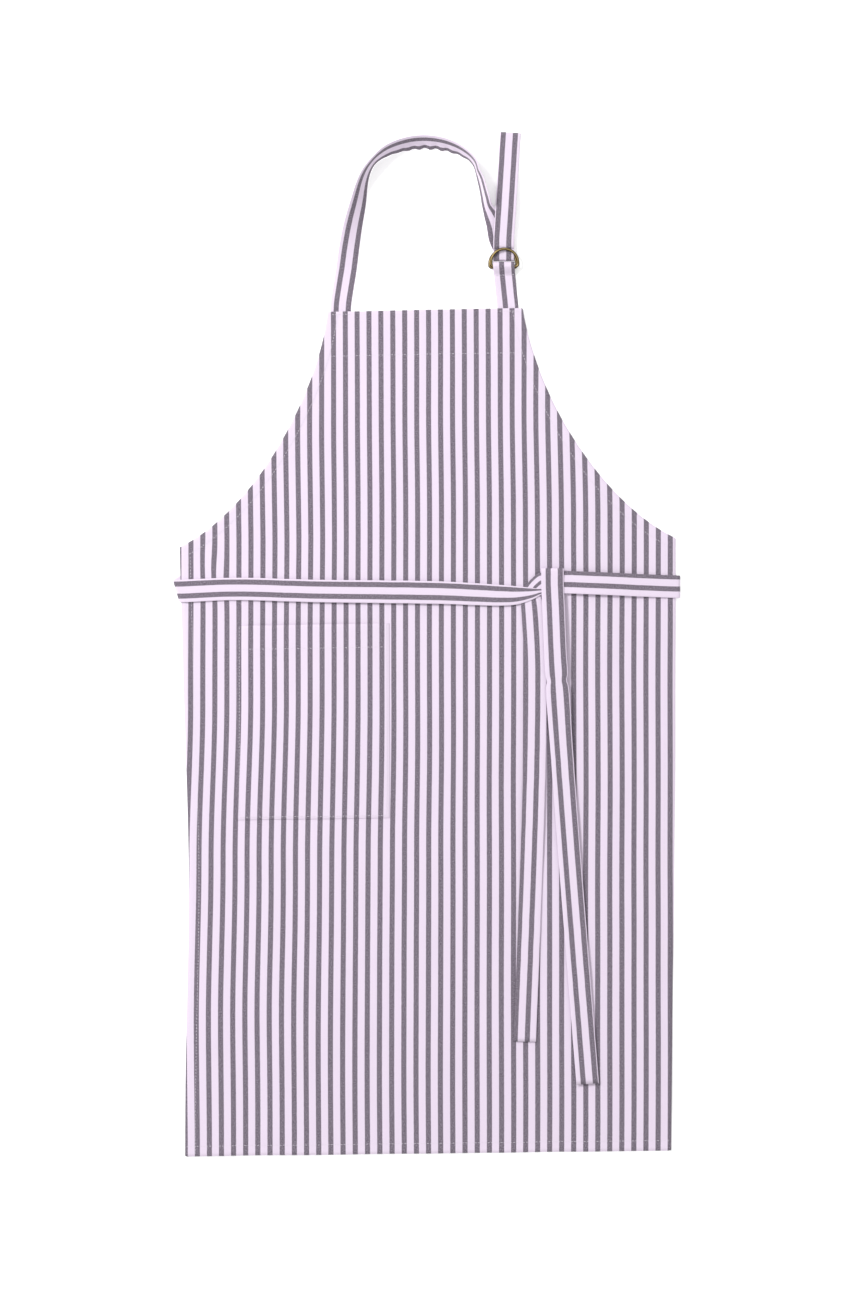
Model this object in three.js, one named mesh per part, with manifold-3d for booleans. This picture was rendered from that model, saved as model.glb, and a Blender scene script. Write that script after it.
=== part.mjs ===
// Bib apron laid flat on its back: striped cotton body with turned hems, one patch pocket, a neck strap
// that runs through a pair of D-rings, and two waist ties brought round to the front in a half knot.
// Millimetres. +X is the viewer's right, +Y runs up the apron to the neck, +Z is the front of the cloth.
import * as THREE from 'three';
import { mergeVertices } from 'three/addons/utils/BufferGeometryUtils.js';
import Module from 'manifold-3d';

const wasm = await Module();
wasm.setup();

// ---- Driving dimensions -------------------------------------------------------------------------
const CLEARANCE = 0.3;          // between two pieces that touch
const CLOTH = 0.8;              // body and pocket cloth
const WEBBING = 0.8;            // a folded strap or tie
const THREAD_WIDTH = 0.6;
const THREAD_HEIGHT = 0.3;

const PANEL_LENGTH = 870;       // bib's top edge to bottom hem
const SKIRT_LENGTH = 630;       // waist corner to bottom hem
const BIB_WIDTH = 200;
const WAIST_WIDTH = 508;
const HEM_WIDTH = 500;
const BIB_OFFSET = -3;          // the bib lies a little to the left of the skirt's middle
const BIB_HEM = 47;
const SIDE_HEM = 11;
const BOTTOM_HEM = 11;

const POCKET_WIDTH = 157;
const POCKET_LENGTH = 200;
const POCKET_HEM = 25;
const POCKET_FROM_SIDE = 57;    // panel's left edge to the pocket, at the waist
const POCKET_FROM_WAIST = 83;   // waist corner down to the pocket's mouth
const POCKET_EASE = 7;          // how far the slack pocket stands off the body

const RING_INSIDE = 25;
const RING_WIRE = 2.8;
const RING_LEG = 3.8;           // straight stretch of each side, below the arc
const RING_CORNER = 2.2;
const RING_SHIFT_X = 1.4;       // the lower ring sits this far to the left of the upper
const RING_SHIFT_Y = 1;         // and this far below it
const RING_ABOVE_BIB = 45.6;
const RING_FROM_BIB_CORNER = 18.4;
const STRAP_ROOM = 0.8;         // each side of the strap, where both rings leave it room

const STRAP_FROM_BIB_CORNER = 13;
const STRAP_OVERLAP = 26;       // sewn behind the bib
const LOOP_RISE = 173;          // bib's top edge to the top of the neck loop
const STRAP_TAIL = 112;
const STRAP_TAIL_LEAN = 3.6;    // degrees
const FOLD_ROOM = 3;            // bib's top edge to the line where strap and tab fold

const TIE_WIDTH = 23.2;
const TIE_DROP = 45;            // waist corner down to the ties
const TIE_EDGE_ROOM = 5.5;      // how far a tie's fold stands off the panel's side
const TIE_ROOT = 42;            // back part of a tie, from its fold to its sewn end
const LEFT_CREASE_ANGLE = 74;   // degrees from the tie's run to the line it is folded on
const KNOT_X = 128;             // middle of the knot, from the skirt's middle
const KNOT_RISE = 5.5;          // the knot sits this far above the ties' folds
const LEFT_TAIL = 494;
const LEFT_TAIL_LEAN = 4.1;     // degrees
const RIGHT_TAIL = 443;
const RIGHT_TAIL_LEAN = -0.7;

const TAIL_SWING = 10;          // degrees each way, of a tie's loose end about the knot
const STRAP_TAIL_SWING = 20;

// ---- Levels above the surface that the apron lies on --------------------------------------------
const LAYER = WEBBING + CLEARANCE;
const PANEL_UNDERSIDE = LAYER;
const PANEL_FACE = PANEL_UNDERSIDE + CLOTH;
const THREAD_LEVEL = PANEL_FACE + CLEARANCE + THREAD_HEIGHT / 2;
const BACK_LEVEL = WEBBING / 2;
const tieLevel = (layer) => PANEL_FACE + THREAD_HEIGHT + 2 * CLEARANCE + WEBBING / 2 + layer * LAYER;

const LOWER_RING_LEVEL = LAYER + RING_WIRE / 2;
const UPPER_RING_LEVEL = LOWER_RING_LEVEL + RING_WIRE + CLEARANCE;
const OVER_RING_LEVEL = LAYER + RING_WIRE + CLEARANCE + WEBBING / 2;

// ---- Places that several pieces share -----------------------------------------------------------
const BIB_LEFT = BIB_OFFSET - BIB_WIDTH / 2;
const BIB_RIGHT = BIB_OFFSET + BIB_WIDTH / 2;
const STRAP_WIDTH = RING_INSIDE - RING_SHIFT_X - 2 * STRAP_ROOM;
const STRAP_X = BIB_LEFT + STRAP_FROM_BIB_CORNER;
const RING_X = BIB_RIGHT - RING_FROM_BIB_CORNER;
const BAR_Y = PANEL_LENGTH + RING_ABOVE_BIB;
const RING_RADIUS = (RING_INSIDE + RING_WIRE) / 2;
const RING_REACH = RING_LEG + RING_RADIUS;
const FOLD_Y = PANEL_LENGTH + FOLD_ROOM;
const FOLD_GAP = 2 * WEBBING;   // lets a strap fold back over its sewn end
const TIE_Y = SKIRT_LENGTH - TIE_DROP;
const KNOT_Y = TIE_Y + KNOT_RISE;
const HALF_TIE = TIE_WIDTH / 2;

const radians = THREE.MathUtils.degToRad;
const smooth = THREE.MathUtils.smoothstep;
const mix = THREE.MathUtils.lerp;
const vector = (x, y, z) => new THREE.Vector3(x, y, z);
const UP = vector(0, 0, 1);
const RIGHT = vector(1, 0, 0);
const LEFT = vector(-1, 0, 0);

const swingGap = (width, degrees) => CLEARANCE + (width / 2) * Math.sin(radians(degrees));
const sideX = (y) => mix(HEM_WIDTH, WAIST_WIDTH, y / SKIRT_LENGTH) / 2;

// ---- Colours ------------------------------------------------------------------------------------
const finishes = {
  stripedCotton: { color: 0xc4b7c8, roughness: 0.9, metalness: 0 },
  thread: { color: 0xe9e2ec, roughness: 0.8, metalness: 0 },
  agedBrass: { color: 0x8a7442, roughness: 0.35, metalness: 1 },
};

const apron = new THREE.Group();

function addPiece(name, geometry, finish) {
  const piece = new THREE.Mesh(geometry, new THREE.MeshStandardMaterial(finishes[finish]));
  piece.name = name;
  apron.add(piece);
  return piece;
}

// ---- Solids -------------------------------------------------------------------------------------
function toSolid(geometry) {
  const bare = geometry.clone();
  bare.deleteAttribute('normal');
  bare.deleteAttribute('uv');
  const merged = mergeVertices(bare, 1e-4);
  return new wasm.Manifold(new wasm.Mesh({
    numProp: 3,
    vertProperties: new Float32Array(merged.attributes.position.array),
    triVerts: new Uint32Array(merged.index.array),
  }));
}

function toGeometry(solid) {
  const mesh = solid.getMesh();
  const geometry = new THREE.BufferGeometry();
  geometry.setAttribute('position', new THREE.BufferAttribute(mesh.vertProperties, 3));
  geometry.setIndex(new THREE.BufferAttribute(mesh.triVerts, 1));
  geometry.computeVertexNormals();
  return geometry;
}

// A strip of the given width and thickness, bent along a route. side(t, along) gives the direction across it.
function ribbon({ route, side, width, thickness = WEBBING, steps }) {
  const slab = new THREE.BoxGeometry(1, 1, thickness, 1, steps, 1);
  const corners = slab.attributes.position;
  const corner = new THREE.Vector3();
  for (let i = 0; i < corners.count; i += 1) {
    corner.fromBufferAttribute(corners, i);
    const t = THREE.MathUtils.clamp(corner.y + 0.5, 0, 1);
    const along = route.getTangent(t);
    const across = side(t, along);
    const outward = across.clone().cross(along).normalize();
    const breadth = typeof width === 'function' ? width(t) : width;
    const place = route.getPoint(t);
    place.addScaledVector(across, corner.x * breadth);
    place.addScaledVector(outward, corner.z);
    corners.setXYZ(i, place.x, place.y, place.z);
  }
  slab.computeVertexNormals();
  return slab;
}

const flat = (t, along) => vector(along.y, -along.x, 0).normalize();
const fixed = (direction) => () => direction.clone();
// Starts with the given direction across, as the piece before it ends, and soon lies square to its own route.
const squareAfter = (start) => (t, along) => start.clone().lerp(flat(t, along), smooth(t, 0, 0.2));
const spline = (points) => new THREE.CatmullRomCurve3(points, false, 'centripetal');
const straight = (from, to) => new THREE.LineCurve3(from, to);

// ---- Body ---------------------------------------------------------------------------------------
// Armhole of the right side, from the bib's corner to the waist's.
const armhole = new THREE.CubicBezierCurve(
  new THREE.Vector2(BIB_WIDTH / 2, PANEL_LENGTH),
  new THREE.Vector2(BIB_WIDTH / 2 + 12, mix(SKIRT_LENGTH, PANEL_LENGTH, 0.625)),
  new THREE.Vector2(mix(BIB_WIDTH, WAIST_WIDTH, 0.52) / 2, mix(SKIRT_LENGTH, PANEL_LENGTH, 0.15)),
  new THREE.Vector2(WAIST_WIDTH / 2, SKIRT_LENGTH),
);

// A point of the right or left armhole (side 1 or -1), moved inwards by the inset.
// The bib's offset fades to nothing at the waist.
function armholePoint(t, side, inset) {
  const point = armhole.getPoint(t);
  const tangent = armhole.getTangent(t);
  const bibShare = (point.y - SKIRT_LENGTH) / (PANEL_LENGTH - SKIRT_LENGTH);
  const x = point.x + tangent.y * inset;
  const y = point.y - tangent.x * inset;
  return new THREE.Vector2(side * x + BIB_OFFSET * bibShare, y);
}

function armholeLine(side, inset, steps = 14) {
  return Array.from({ length: steps + 1 }, (unused, i) => armholePoint(i / steps, side, inset));
}

function panelOutline(inset) {
  const rightArmhole = armholeLine(1, inset);
  const leftArmhole = armholeLine(-1, inset).reverse();
  const rightCorner = new THREE.Vector2(sideX(0) - inset, 0);
  const leftCorner = new THREE.Vector2(inset - sideX(0), 0);
  return new THREE.Shape([...rightArmhole, rightCorner, leftCorner, ...leftArmhole]);
}

function slabFrom(outline, bottom, top) {
  const slab = new THREE.ExtrudeGeometry(outline, { depth: top - bottom, bevelEnabled: false });
  return slab.translate(0, 0, bottom);
}

function boxSolid(low, high) {
  const size = high.clone().sub(low);
  const middle = low.clone().add(high).multiplyScalar(0.5);
  return toSolid(new THREE.BoxGeometry(size.x, size.y, size.z).translate(middle.x, middle.y, middle.z));
}

// The hems are turned to the back, so the cloth is thick round its border and thin inside it.
function bodyPanel(roots) {
  const whole = toSolid(slabFrom(panelOutline(0), 0, PANEL_FACE));
  const insideHems = toSolid(slabFrom(panelOutline(SIDE_HEM), -1, PANEL_UNDERSIDE));
  const betweenHems = boxSolid(
    vector(-WAIST_WIDTH, BOTTOM_HEM, -2),
    vector(WAIST_WIDTH, PANEL_LENGTH - BIB_HEM, PANEL_FACE),
  );
  let panel = whole.subtract(insideHems.intersect(betweenHems));
  for (const root of roots) {
    panel = panel.subtract(toSolid(ribbon({
      ...root,
      width: root.width + 2 * CLEARANCE,
      thickness: WEBBING + 2 * CLEARANCE,
    })));
  }
  return toGeometry(panel);
}

// ---- Pocket -------------------------------------------------------------------------------------
const POCKET_TOP = SKIRT_LENGTH - POCKET_FROM_WAIST;
const POCKET_X = POCKET_FROM_SIDE + POCKET_WIDTH / 2 - WAIST_WIDTH / 2;

// Height of the pocket's face at (u across, v up), each 0 to 1.
// It is sewn down at its sides and foot, and slack at its mouth.
function pocketFace(u, v) {
  const fullness = (1 - (2 * u - 1) ** 4) * (1 - (1 - v) ** 4);
  return PANEL_FACE + CLEARANCE + CLOTH + POCKET_EASE * fullness;
}

function pocket() {
  const hemRow = Math.round(12 * (1 - POCKET_HEM / POCKET_LENGTH)) / 12;
  const slab = new THREE.BoxGeometry(POCKET_WIDTH, POCKET_LENGTH, 1, 12, 12, 1);
  const corners = slab.attributes.position;
  for (let i = 0; i < corners.count; i += 1) {
    const u = corners.getX(i) / POCKET_WIDTH + 0.5;
    const v = corners.getY(i) / POCKET_LENGTH + 0.5;
    const isInside = corners.getZ(i) < 0;
    const doubled = v > hemRow && u > 0 && u < 1 ? CLOTH : 0;
    const depth = isInside ? CLOTH + doubled : 0;
    corners.setXYZ(
      i,
      POCKET_X + (u - 0.5) * POCKET_WIDTH,
      POCKET_TOP + (v - 1) * POCKET_LENGTH,
      pocketFace(u, v) - depth,
    );
  }
  slab.computeVertexNormals();
  return slab;
}

// ---- Neck strap ---------------------------------------------------------------------------------
// Stations of the loop: how far across from the strap's root to the rings, how far up from the bib,
// and the strap's lean in degrees. The strap lies flat where it is sewn and in the rings, and stands
// on its inner edge round the neck.
const LOOP_STATIONS = [
  [0.0, 0.022, 0], [0.014, 0.125, 0], [0.034, 0.245, 4], [0.05, 0.36, 14], [0.07, 0.48, 26],
  [0.107, 0.64, 42], [0.148, 0.8, 62], [0.2, 0.885, 72], [0.28, 0.945, 68], [0.39, 0.985, 58],
  [0.507, 1.0, 54], [0.64, 0.983, 58], [0.75, 0.937, 66], [0.82, 0.88, 68],
];
// Where the loop comes back beside its own loose end and dives under it, so that a wider strap still
// clears itself: strap widths to the left of the rings, then rise and lean as above.
const RETURN_STATIONS = [
  [1.06, 0.77, 62], [1.02, 0.69, 34], [0.76, 0.61, 2], [0.45, 0.53, 0], [0.16, 0.45, 0],
  [0.04, 0.41, 0], [0.04, 0.385, 0],
];

function neckLoop() {
  const stations = [
    ...LOOP_STATIONS.map(([across, ...rest]) => [mix(STRAP_X, RING_X, across), ...rest]),
    ...RETURN_STATIONS.map(([widths, ...rest]) => [RING_X - STRAP_WIDTH * widths, ...rest]),
  ];
  const leans = new THREE.SplineCurve(stations.map(([, , lean], i) => new THREE.Vector2(i, lean)));
  const leanAt = (t) => radians(Math.max(leans.getPoint(t).y, 0));
  const points = stations.map(([x, up, lean]) => vector(
    x,
    PANEL_LENGTH + LOOP_RISE * up,
    BACK_LEVEL + (STRAP_WIDTH / 2) * Math.sin(radians(lean)),
  ));
  points[0].y = FOLD_Y + CLEARANCE / 2;
  const route = new THREE.CatmullRomCurve3(points, false, 'catmullrom');
  // Both ends are cut square, to meet the sewn end and the stretch in the rings.
  const side = (t, along) => {
    const across = RIGHT.clone().lerp(flat(t, along), smooth(t, 0, 0.06)).lerp(LEFT, smooth(t, 0.97, 1));
    return across.multiplyScalar(Math.cos(leanAt(t))).addScaledVector(UP, -Math.sin(leanAt(t)));
  };
  return { route, side, width: STRAP_WIDTH, steps: 54 };
}

const loop = neckLoop();
const loopStart = loop.route.getPoint(0);
const loopEnd = loop.route.getPoint(1);

// Sewn end of a strap or tab, behind the bib's hem.
function bibRoot(x, slack = 0) {
  const foot = vector(x, PANEL_LENGTH - STRAP_OVERLAP - slack, BACK_LEVEL);
  const head = vector(x, FOLD_Y - FOLD_GAP, BACK_LEVEL);
  return { route: straight(foot, head), side: flat, width: STRAP_WIDTH, steps: 1 };
}

// In the rings: under both arcs, up between bar and arc, over the lower arc and under the upper one.
const TURN_Y = BAR_Y + RING_WIRE / 2 + FOLD_ROOM + WEBBING + CLEARANCE + WEBBING;
const TURN_RADIUS = (OVER_RING_LEVEL - BACK_LEVEL) / 2;
const TURN_X = RING_X - RING_SHIFT_X / 2;
const ARC_TOP = BAR_Y + RING_REACH + RING_WIRE / 2;

function strapTurn() {
  const route = new THREE.CurvePath();
  const bottom = vector(TURN_X, TURN_Y + TURN_RADIUS, BACK_LEVEL);
  const top = vector(TURN_X, TURN_Y + TURN_RADIUS, OVER_RING_LEVEL);
  const round = TURN_RADIUS * 4 / 3;
  route.add(straight(vector(loopEnd.x, loopEnd.y - CLEARANCE, BACK_LEVEL), bottom));
  route.add(new THREE.CubicBezierCurve3(
    bottom,
    bottom.clone().add(vector(0, -round, 0)),
    top.clone().add(vector(0, -round, 0)),
    top,
  ));
  route.add(straight(top, vector(TURN_X, ARC_TOP + FOLD_ROOM, OVER_RING_LEVEL)));
  return { route, side: fixed(RIGHT), width: STRAP_WIDTH, steps: 30 };
}

function strapTail() {
  const lean = radians(STRAP_TAIL_LEAN);
  const start = ARC_TOP + FOLD_ROOM + swingGap(STRAP_WIDTH, STRAP_TAIL_SWING + STRAP_TAIL_LEAN);
  const at = (length, level) => vector(
    TURN_X + length * Math.sin(lean),
    start + length * Math.cos(lean),
    level,
  );
  const route = spline([
    at(0, OVER_RING_LEVEL),
    at(STRAP_TAIL * 0.14, OVER_RING_LEVEL + WEBBING),
    at(STRAP_TAIL * 0.27, OVER_RING_LEVEL + 3 * WEBBING),
    at(STRAP_TAIL * 0.42, OVER_RING_LEVEL + 2 * WEBBING),
    at(STRAP_TAIL * 0.7, BACK_LEVEL + WEBBING),
    at(STRAP_TAIL, BACK_LEVEL),
  ]);
  return { route, side: flat, width: STRAP_WIDTH, steps: 12 };
}

// ---- Ring tab -----------------------------------------------------------------------------------
// One strip: up from the bib, over both bars, round, and back under them to its sewn end.
const TAB_X_AT_BIB = RING_X + 4;
const TAB_STITCH_Y = BAR_Y - 8.5;
const TAB_STITCH_LEVEL = BACK_LEVEL + LAYER + CLEARANCE;
const tabX = (y) => mix(TAB_X_AT_BIB, TURN_X, (y - PANEL_LENGTH) / RING_ABOVE_BIB);

function ringTab() {
  const at = (y, level) => vector(tabX(y), y, level);
  const over = UPPER_RING_LEVEL + RING_WIRE / 2 + CLEARANCE + WEBBING / 2;
  const doubled = BACK_LEVEL + LAYER;
  const foldY = BAR_Y + RING_WIRE / 2 + FOLD_ROOM;
  const middle = (LOWER_RING_LEVEL + UPPER_RING_LEVEL) / 2;
  const route = spline([
    at(FOLD_Y + CLEARANCE / 2, BACK_LEVEL),
    at(mix(FOLD_Y, TAB_STITCH_Y, 0.6), BACK_LEVEL),
    at(TAB_STITCH_Y - 8, BACK_LEVEL + 0.15),
    at(TAB_STITCH_Y - 3.5, doubled),
    at(TAB_STITCH_Y + 0.5, TAB_STITCH_LEVEL),
    at(BAR_Y - 3, over - 1.6),
    at(BAR_Y, over),
    at(foldY - 1.2, over - 1.1),
    at(foldY, middle),
    at(foldY - 1.2, BACK_LEVEL + 0.9),
    at(BAR_Y, BACK_LEVEL + 0.2),
    at(TAB_STITCH_Y, BACK_LEVEL),
    at(TAB_STITCH_Y - 5, BACK_LEVEL),
  ]);
  return { route, side: fixed(RIGHT), width: STRAP_WIDTH, steps: 60 };
}

// ---- D-rings ---------------------------------------------------------------------------------------
class RingPath extends THREE.Curve {
  constructor() {
    super();
    this.outline = new THREE.Path();
    const corner = RING_RADIUS - RING_CORNER;
    this.outline.moveTo(-corner, 0);
    this.outline.lineTo(corner, 0);
    this.outline.absarc(corner, RING_CORNER, RING_CORNER, -Math.PI / 2, 0);
    this.outline.absarc(0, RING_LEG, RING_RADIUS, 0, Math.PI);
    this.outline.absarc(-corner, RING_CORNER, RING_CORNER, Math.PI, Math.PI * 1.5);
  }

  getPoint(t, target = new THREE.Vector3()) {
    const point = this.outline.getPointAt(t);
    return target.set(point.x, point.y, 0);
  }
}

function addRing(name, x, y, level, tilt) {
  const wire = new THREE.TubeGeometry(new RingPath(), 54, RING_WIRE / 2, 10, true);
  const ring = addPiece(name, wire, 'agedBrass');
  ring.position.set(x, y, level);
  ring.rotation.x = tilt;
}

// The upper ring is tipped up just enough for its arc to clear the strap's edges.
function upperRingTilt() {
  const reachAtStrapEdge = RING_LEG + Math.sqrt(RING_RADIUS ** 2 - (STRAP_WIDTH / 2) ** 2);
  const lift = OVER_RING_LEVEL + WEBBING / 2 + CLEARANCE + RING_WIRE / 2 - UPPER_RING_LEVEL;
  return Math.asin((lift + CLEARANCE) / reachAtStrapEdge);
}

// ---- Waist ties ---------------------------------------------------------------------------------
// A tie's sewn end: behind the panel, out past its side, and round to the front on a crease through the
// given point. heading is the run's direction once it is on the front, and the crease is turned from it
// by creaseAngle.
function tieRoot(crease, heading, creaseAngle) {
  const fold = heading.clone().applyAxisAngle(UP, -radians(creaseAngle));
  const inwards = UP.clone().cross(fold);
  const slide = Math.cos(radians(creaseAngle));
  const reach = Math.sin(radians(creaseAngle));
  const at = (travelled, level) => crease.clone()
    .addScaledVector(fold, travelled * slide)
    .addScaledVector(inwards, Math.abs(travelled) * reach)
    .setZ(level);
  const front = tieLevel(0);
  const middle = (BACK_LEVEL + front) / 2;
  const route = spline([
    at(-TIE_ROOT, BACK_LEVEL),
    at(-TIE_ROOT / 2, BACK_LEVEL),
    at(-6, BACK_LEVEL),
    at(-1.5, BACK_LEVEL + 0.2),
    at(0, middle),
    at(1.5, front - 0.2),
    at(5.5, front),
  ]);
  return { route, side: fixed(fold.divideScalar(reach)), width: TIE_WIDTH, steps: 26 };
}

const leftCrease = vector(-sideX(TIE_Y) - TIE_EDGE_ROOM, TIE_Y - 3.5, 0);
const rightCrease = vector(sideX(TIE_Y) + TIE_EDGE_ROOM, TIE_Y + 1, 0);
const leftRoot = tieRoot(leftCrease, RIGHT, LEFT_CREASE_ANGLE);
const rightRoot = tieRoot(rightCrease, LEFT, 90);

// Left tie: along the front, up over the right tie's loose end, and gathered narrow as it enters the knot.
const LEFT_NECK_X = KNOT_X - HALF_TIE;
const LEFT_NECK_WIDTH = 6;

function leftRun() {
  const start = leftRoot.route.getPoint(1);
  const crossing = KNOT_X - TIE_WIDTH * 1.9;
  const dip = KNOT_Y - 12;
  const route = spline([
    vector(start.x + CLEARANCE, start.y, start.z),
    vector(mix(start.x, crossing, 0.4), start.y - 1, tieLevel(0)),
    vector(mix(start.x, crossing, 0.8), mix(start.y, dip, 0.6), tieLevel(0)),
    vector(crossing, dip - 1.5, tieLevel(0)),
    vector(crossing + 7, dip - 1.6, tieLevel(1)),
    vector(mix(crossing, LEFT_NECK_X, 0.7), dip - 0.5, tieLevel(1)),
    vector(LEFT_NECK_X, dip + 1.8, tieLevel(1)),
  ]);
  const width = (t) => mix(TIE_WIDTH, LEFT_NECK_WIDTH, smooth(t, 0.62, 1));
  return { route, side: squareAfter(leftRoot.side()), width, steps: 40 };
}

// Left tie in the knot: behind the right tie's run, over its top edge and down in front of it.
function leftTurn() {
  const low = KNOT_Y - 10.2;
  const topEdge = KNOT_Y + HALF_TIE + 1.5;
  const bottomEdge = KNOT_Y - HALF_TIE;
  const route = spline([
    vector(LEFT_NECK_X + 3 * CLEARANCE, low, tieLevel(1)),
    vector(KNOT_X - 6, low + 1, tieLevel(1)),
    vector(KNOT_X - 1, low + 6, tieLevel(1)),
    vector(KNOT_X, KNOT_Y + 4, tieLevel(1)),
    vector(KNOT_X, topEdge - 0.4, tieLevel(1)),
    vector(KNOT_X, topEdge + 1.6, tieLevel(2)),
    vector(KNOT_X, topEdge - 0.4, tieLevel(3)),
    vector(KNOT_X, KNOT_Y, tieLevel(3)),
    vector(KNOT_X + 0.5, bottomEdge - 1.5, tieLevel(3)),
    vector(KNOT_X + 1, bottomEdge - 9, tieLevel(1)),
  ]);
  const side = (t) => vector(0, -1, 0).applyAxisAngle(UP, (Math.PI / 2) * smooth(t, 0, 0.26));
  const width = (t) => mix(LEFT_NECK_WIDTH, TIE_WIDTH, smooth(t, 0.08, 0.42));
  return { route, side, width, steps: 48 };
}

// Right tie: along the front, and up over the left tie at the knot.
function rightRun() {
  const start = rightRoot.route.getPoint(1);
  const route = spline([
    vector(start.x - CLEARANCE, start.y, start.z),
    vector(mix(start.x, KNOT_X, 0.5), mix(start.y, KNOT_Y, 0.6), tieLevel(0)),
    vector(KNOT_X + TIE_WIDTH * 1.3, KNOT_Y - 0.5, tieLevel(0.1)),
    vector(KNOT_X + HALF_TIE + 4, KNOT_Y, tieLevel(2.05)),
    vector(KNOT_X, KNOT_Y, tieLevel(2)),
    vector(KNOT_X - HALF_TIE, KNOT_Y, tieLevel(2)),
  ]);
  return { route, side: squareAfter(rightRoot.side()), width: TIE_WIDTH, steps: 26 };
}

// Right tie in the knot: gathered as it dives under the left tie, then spread again below it.
const RIGHT_TAIL_X = KNOT_X - 24;
const GATHERED_WIDTH = 7;

function rightTurn() {
  const startX = KNOT_X - HALF_TIE - CLEARANCE;
  const route = spline([
    vector(startX, KNOT_Y, tieLevel(2)),
    vector(startX - 3, KNOT_Y + 1, tieLevel(1.9)),
    vector(startX - 6, KNOT_Y - 0.4, tieLevel(0.9)),
    vector(RIGHT_TAIL_X + 3, KNOT_Y - 3.2, tieLevel(-0.1)),
    vector(RIGHT_TAIL_X + 0.8, KNOT_Y - 7, tieLevel(-0.1)),
    vector(RIGHT_TAIL_X, KNOT_Y - 14, tieLevel(0)),
    vector(RIGHT_TAIL_X, KNOT_Y - 28, tieLevel(0)),
  ]);
  const width = (t) => mix(TIE_WIDTH, GATHERED_WIDTH, smooth(t, 0, 0.16) * (1 - smooth(t, 0.5, 0.92)));
  return { route, side: squareAfter(vector(0, 1, 0)), width, steps: 30 };
}

function tieTail(from, leanDegrees, length) {
  const lean = radians(leanDegrees);
  const start = from.clone().add(vector(0, -swingGap(TIE_WIDTH, TAIL_SWING + Math.abs(leanDegrees)), 0));
  const at = (travelled, bow) => start.clone().add(vector(
    travelled * Math.sin(lean) + bow,
    -travelled * Math.cos(lean),
    0,
  ));
  const route = spline([at(0, 0), at(length * 0.3, 0.8), at(length * 0.65, 1.2), at(length, 0)]);
  return { route, side: flat, width: TIE_WIDTH, steps: 16 };
}

const leftTurnSpec = leftTurn();
const rightTurnSpec = rightTurn();

// ---- Stitching ----------------------------------------------------------------------------------
function threadAlong(points, steps) {
  const route = points.length === 2
    ? straight(...points)
    : new THREE.CatmullRomCurve3(points, false, 'catmullrom', 0.5);
  return ribbon({ route, side: flat, width: THREAD_WIDTH, thickness: THREAD_HEIGHT, steps });
}

const onPanel = (x, y) => vector(x, y, THREAD_LEVEL);

function bibStitchRow() {
  const y = PANEL_LENGTH - BIB_HEM + 1.5;
  const half = BIB_WIDTH / 2 - 4;
  return threadAlong([onPanel(BIB_OFFSET - half, y), onPanel(BIB_OFFSET + half, y)], 1);
}

function bottomStitchRow() {
  const y = BOTTOM_HEM - 1;
  return threadAlong([onPanel(1 - sideX(y), y), onPanel(sideX(y) - 1, y)], 1);
}

function sideStitchRow(side) {
  const fromEdge = SIDE_HEM - 1;
  const low = BOTTOM_HEM + 1;
  const high = SKIRT_LENGTH - 14;
  return threadAlong([
    onPanel(side * (sideX(low) - fromEdge), low),
    onPanel(side * (sideX(high) - fromEdge), high),
  ], 1);
}

function armholeStitchRow(side) {
  const fromEdge = SIDE_HEM - 1;
  const points = Array.from({ length: 9 }, (unused, i) => {
    const point = armholePoint(mix(0.24, 0.96, i / 8), side, fromEdge);
    return onPanel(point.x, point.y);
  });
  return threadAlong(points, 24);
}

// Three sewn sides of the pocket, 2.5 mm in from its edge, riding on its face.
const POCKET_STITCH_INSET = 2.5;

function onPocket(u, v) {
  return vector(
    POCKET_X + (u - 0.5) * POCKET_WIDTH,
    POCKET_TOP + (v - 1) * POCKET_LENGTH,
    pocketFace(u, v) + CLEARANCE + THREAD_HEIGHT,
  );
}

// The row's line down the pocket's left side, along its foot and up its right side, this far from its edge.
function pocketEdgeLine(inset, steps = 12) {
  const top = 0.99 * POCKET_LENGTH;
  const corners = [
    new THREE.Vector2(inset, top),
    new THREE.Vector2(inset, inset),
    new THREE.Vector2(POCKET_WIDTH - inset, inset),
    new THREE.Vector2(POCKET_WIDTH - inset, top),
  ];
  const line = [corners[0]];
  for (let i = 1; i < corners.length; i += 1) {
    for (let step = 1; step <= steps; step += 1) {
      line.push(corners[i - 1].clone().lerp(corners[i], step / steps));
    }
  }
  return line;
}

function pocketEdgeStitching() {
  const half = THREAD_WIDTH / 2;
  const outer = pocketEdgeLine(POCKET_STITCH_INSET - half);
  const inner = pocketEdgeLine(POCKET_STITCH_INSET + half).reverse();
  const row = slabFrom(new THREE.Shape([...outer, ...inner]), -THREAD_HEIGHT / 2, THREAD_HEIGHT / 2);
  const corners = row.attributes.position;
  for (let i = 0; i < corners.count; i += 1) {
    const place = onPocket(corners.getX(i) / POCKET_WIDTH, corners.getY(i) / POCKET_LENGTH);
    corners.setXYZ(i, place.x, place.y, place.z + corners.getZ(i));
  }
  row.computeVertexNormals();
  return row;
}

function pocketHemStitching() {
  const v = 1 - POCKET_HEM / POCKET_LENGTH;
  const points = Array.from({ length: 13 }, (unused, i) => onPocket(mix(0.04, 0.96, i / 12), v));
  return threadAlong(points, 24);
}

// Short bars of stitching that hold a strap or tie to the body, and the row that closes the ring tab.
function barAcrossStrap(x) {
  const half = STRAP_WIDTH / 2 - 2;
  const y = PANEL_LENGTH - 3;
  return threadAlong([onPanel(x - half, y), onPanel(x + half, y)], 1);
}

function barDownTie(crease, side) {
  const x = side * (sideX(crease.y) - 3);
  return threadAlong([onPanel(x, crease.y - HALF_TIE + 3), onPanel(x, crease.y + HALF_TIE + 3)], 1);
}

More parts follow.
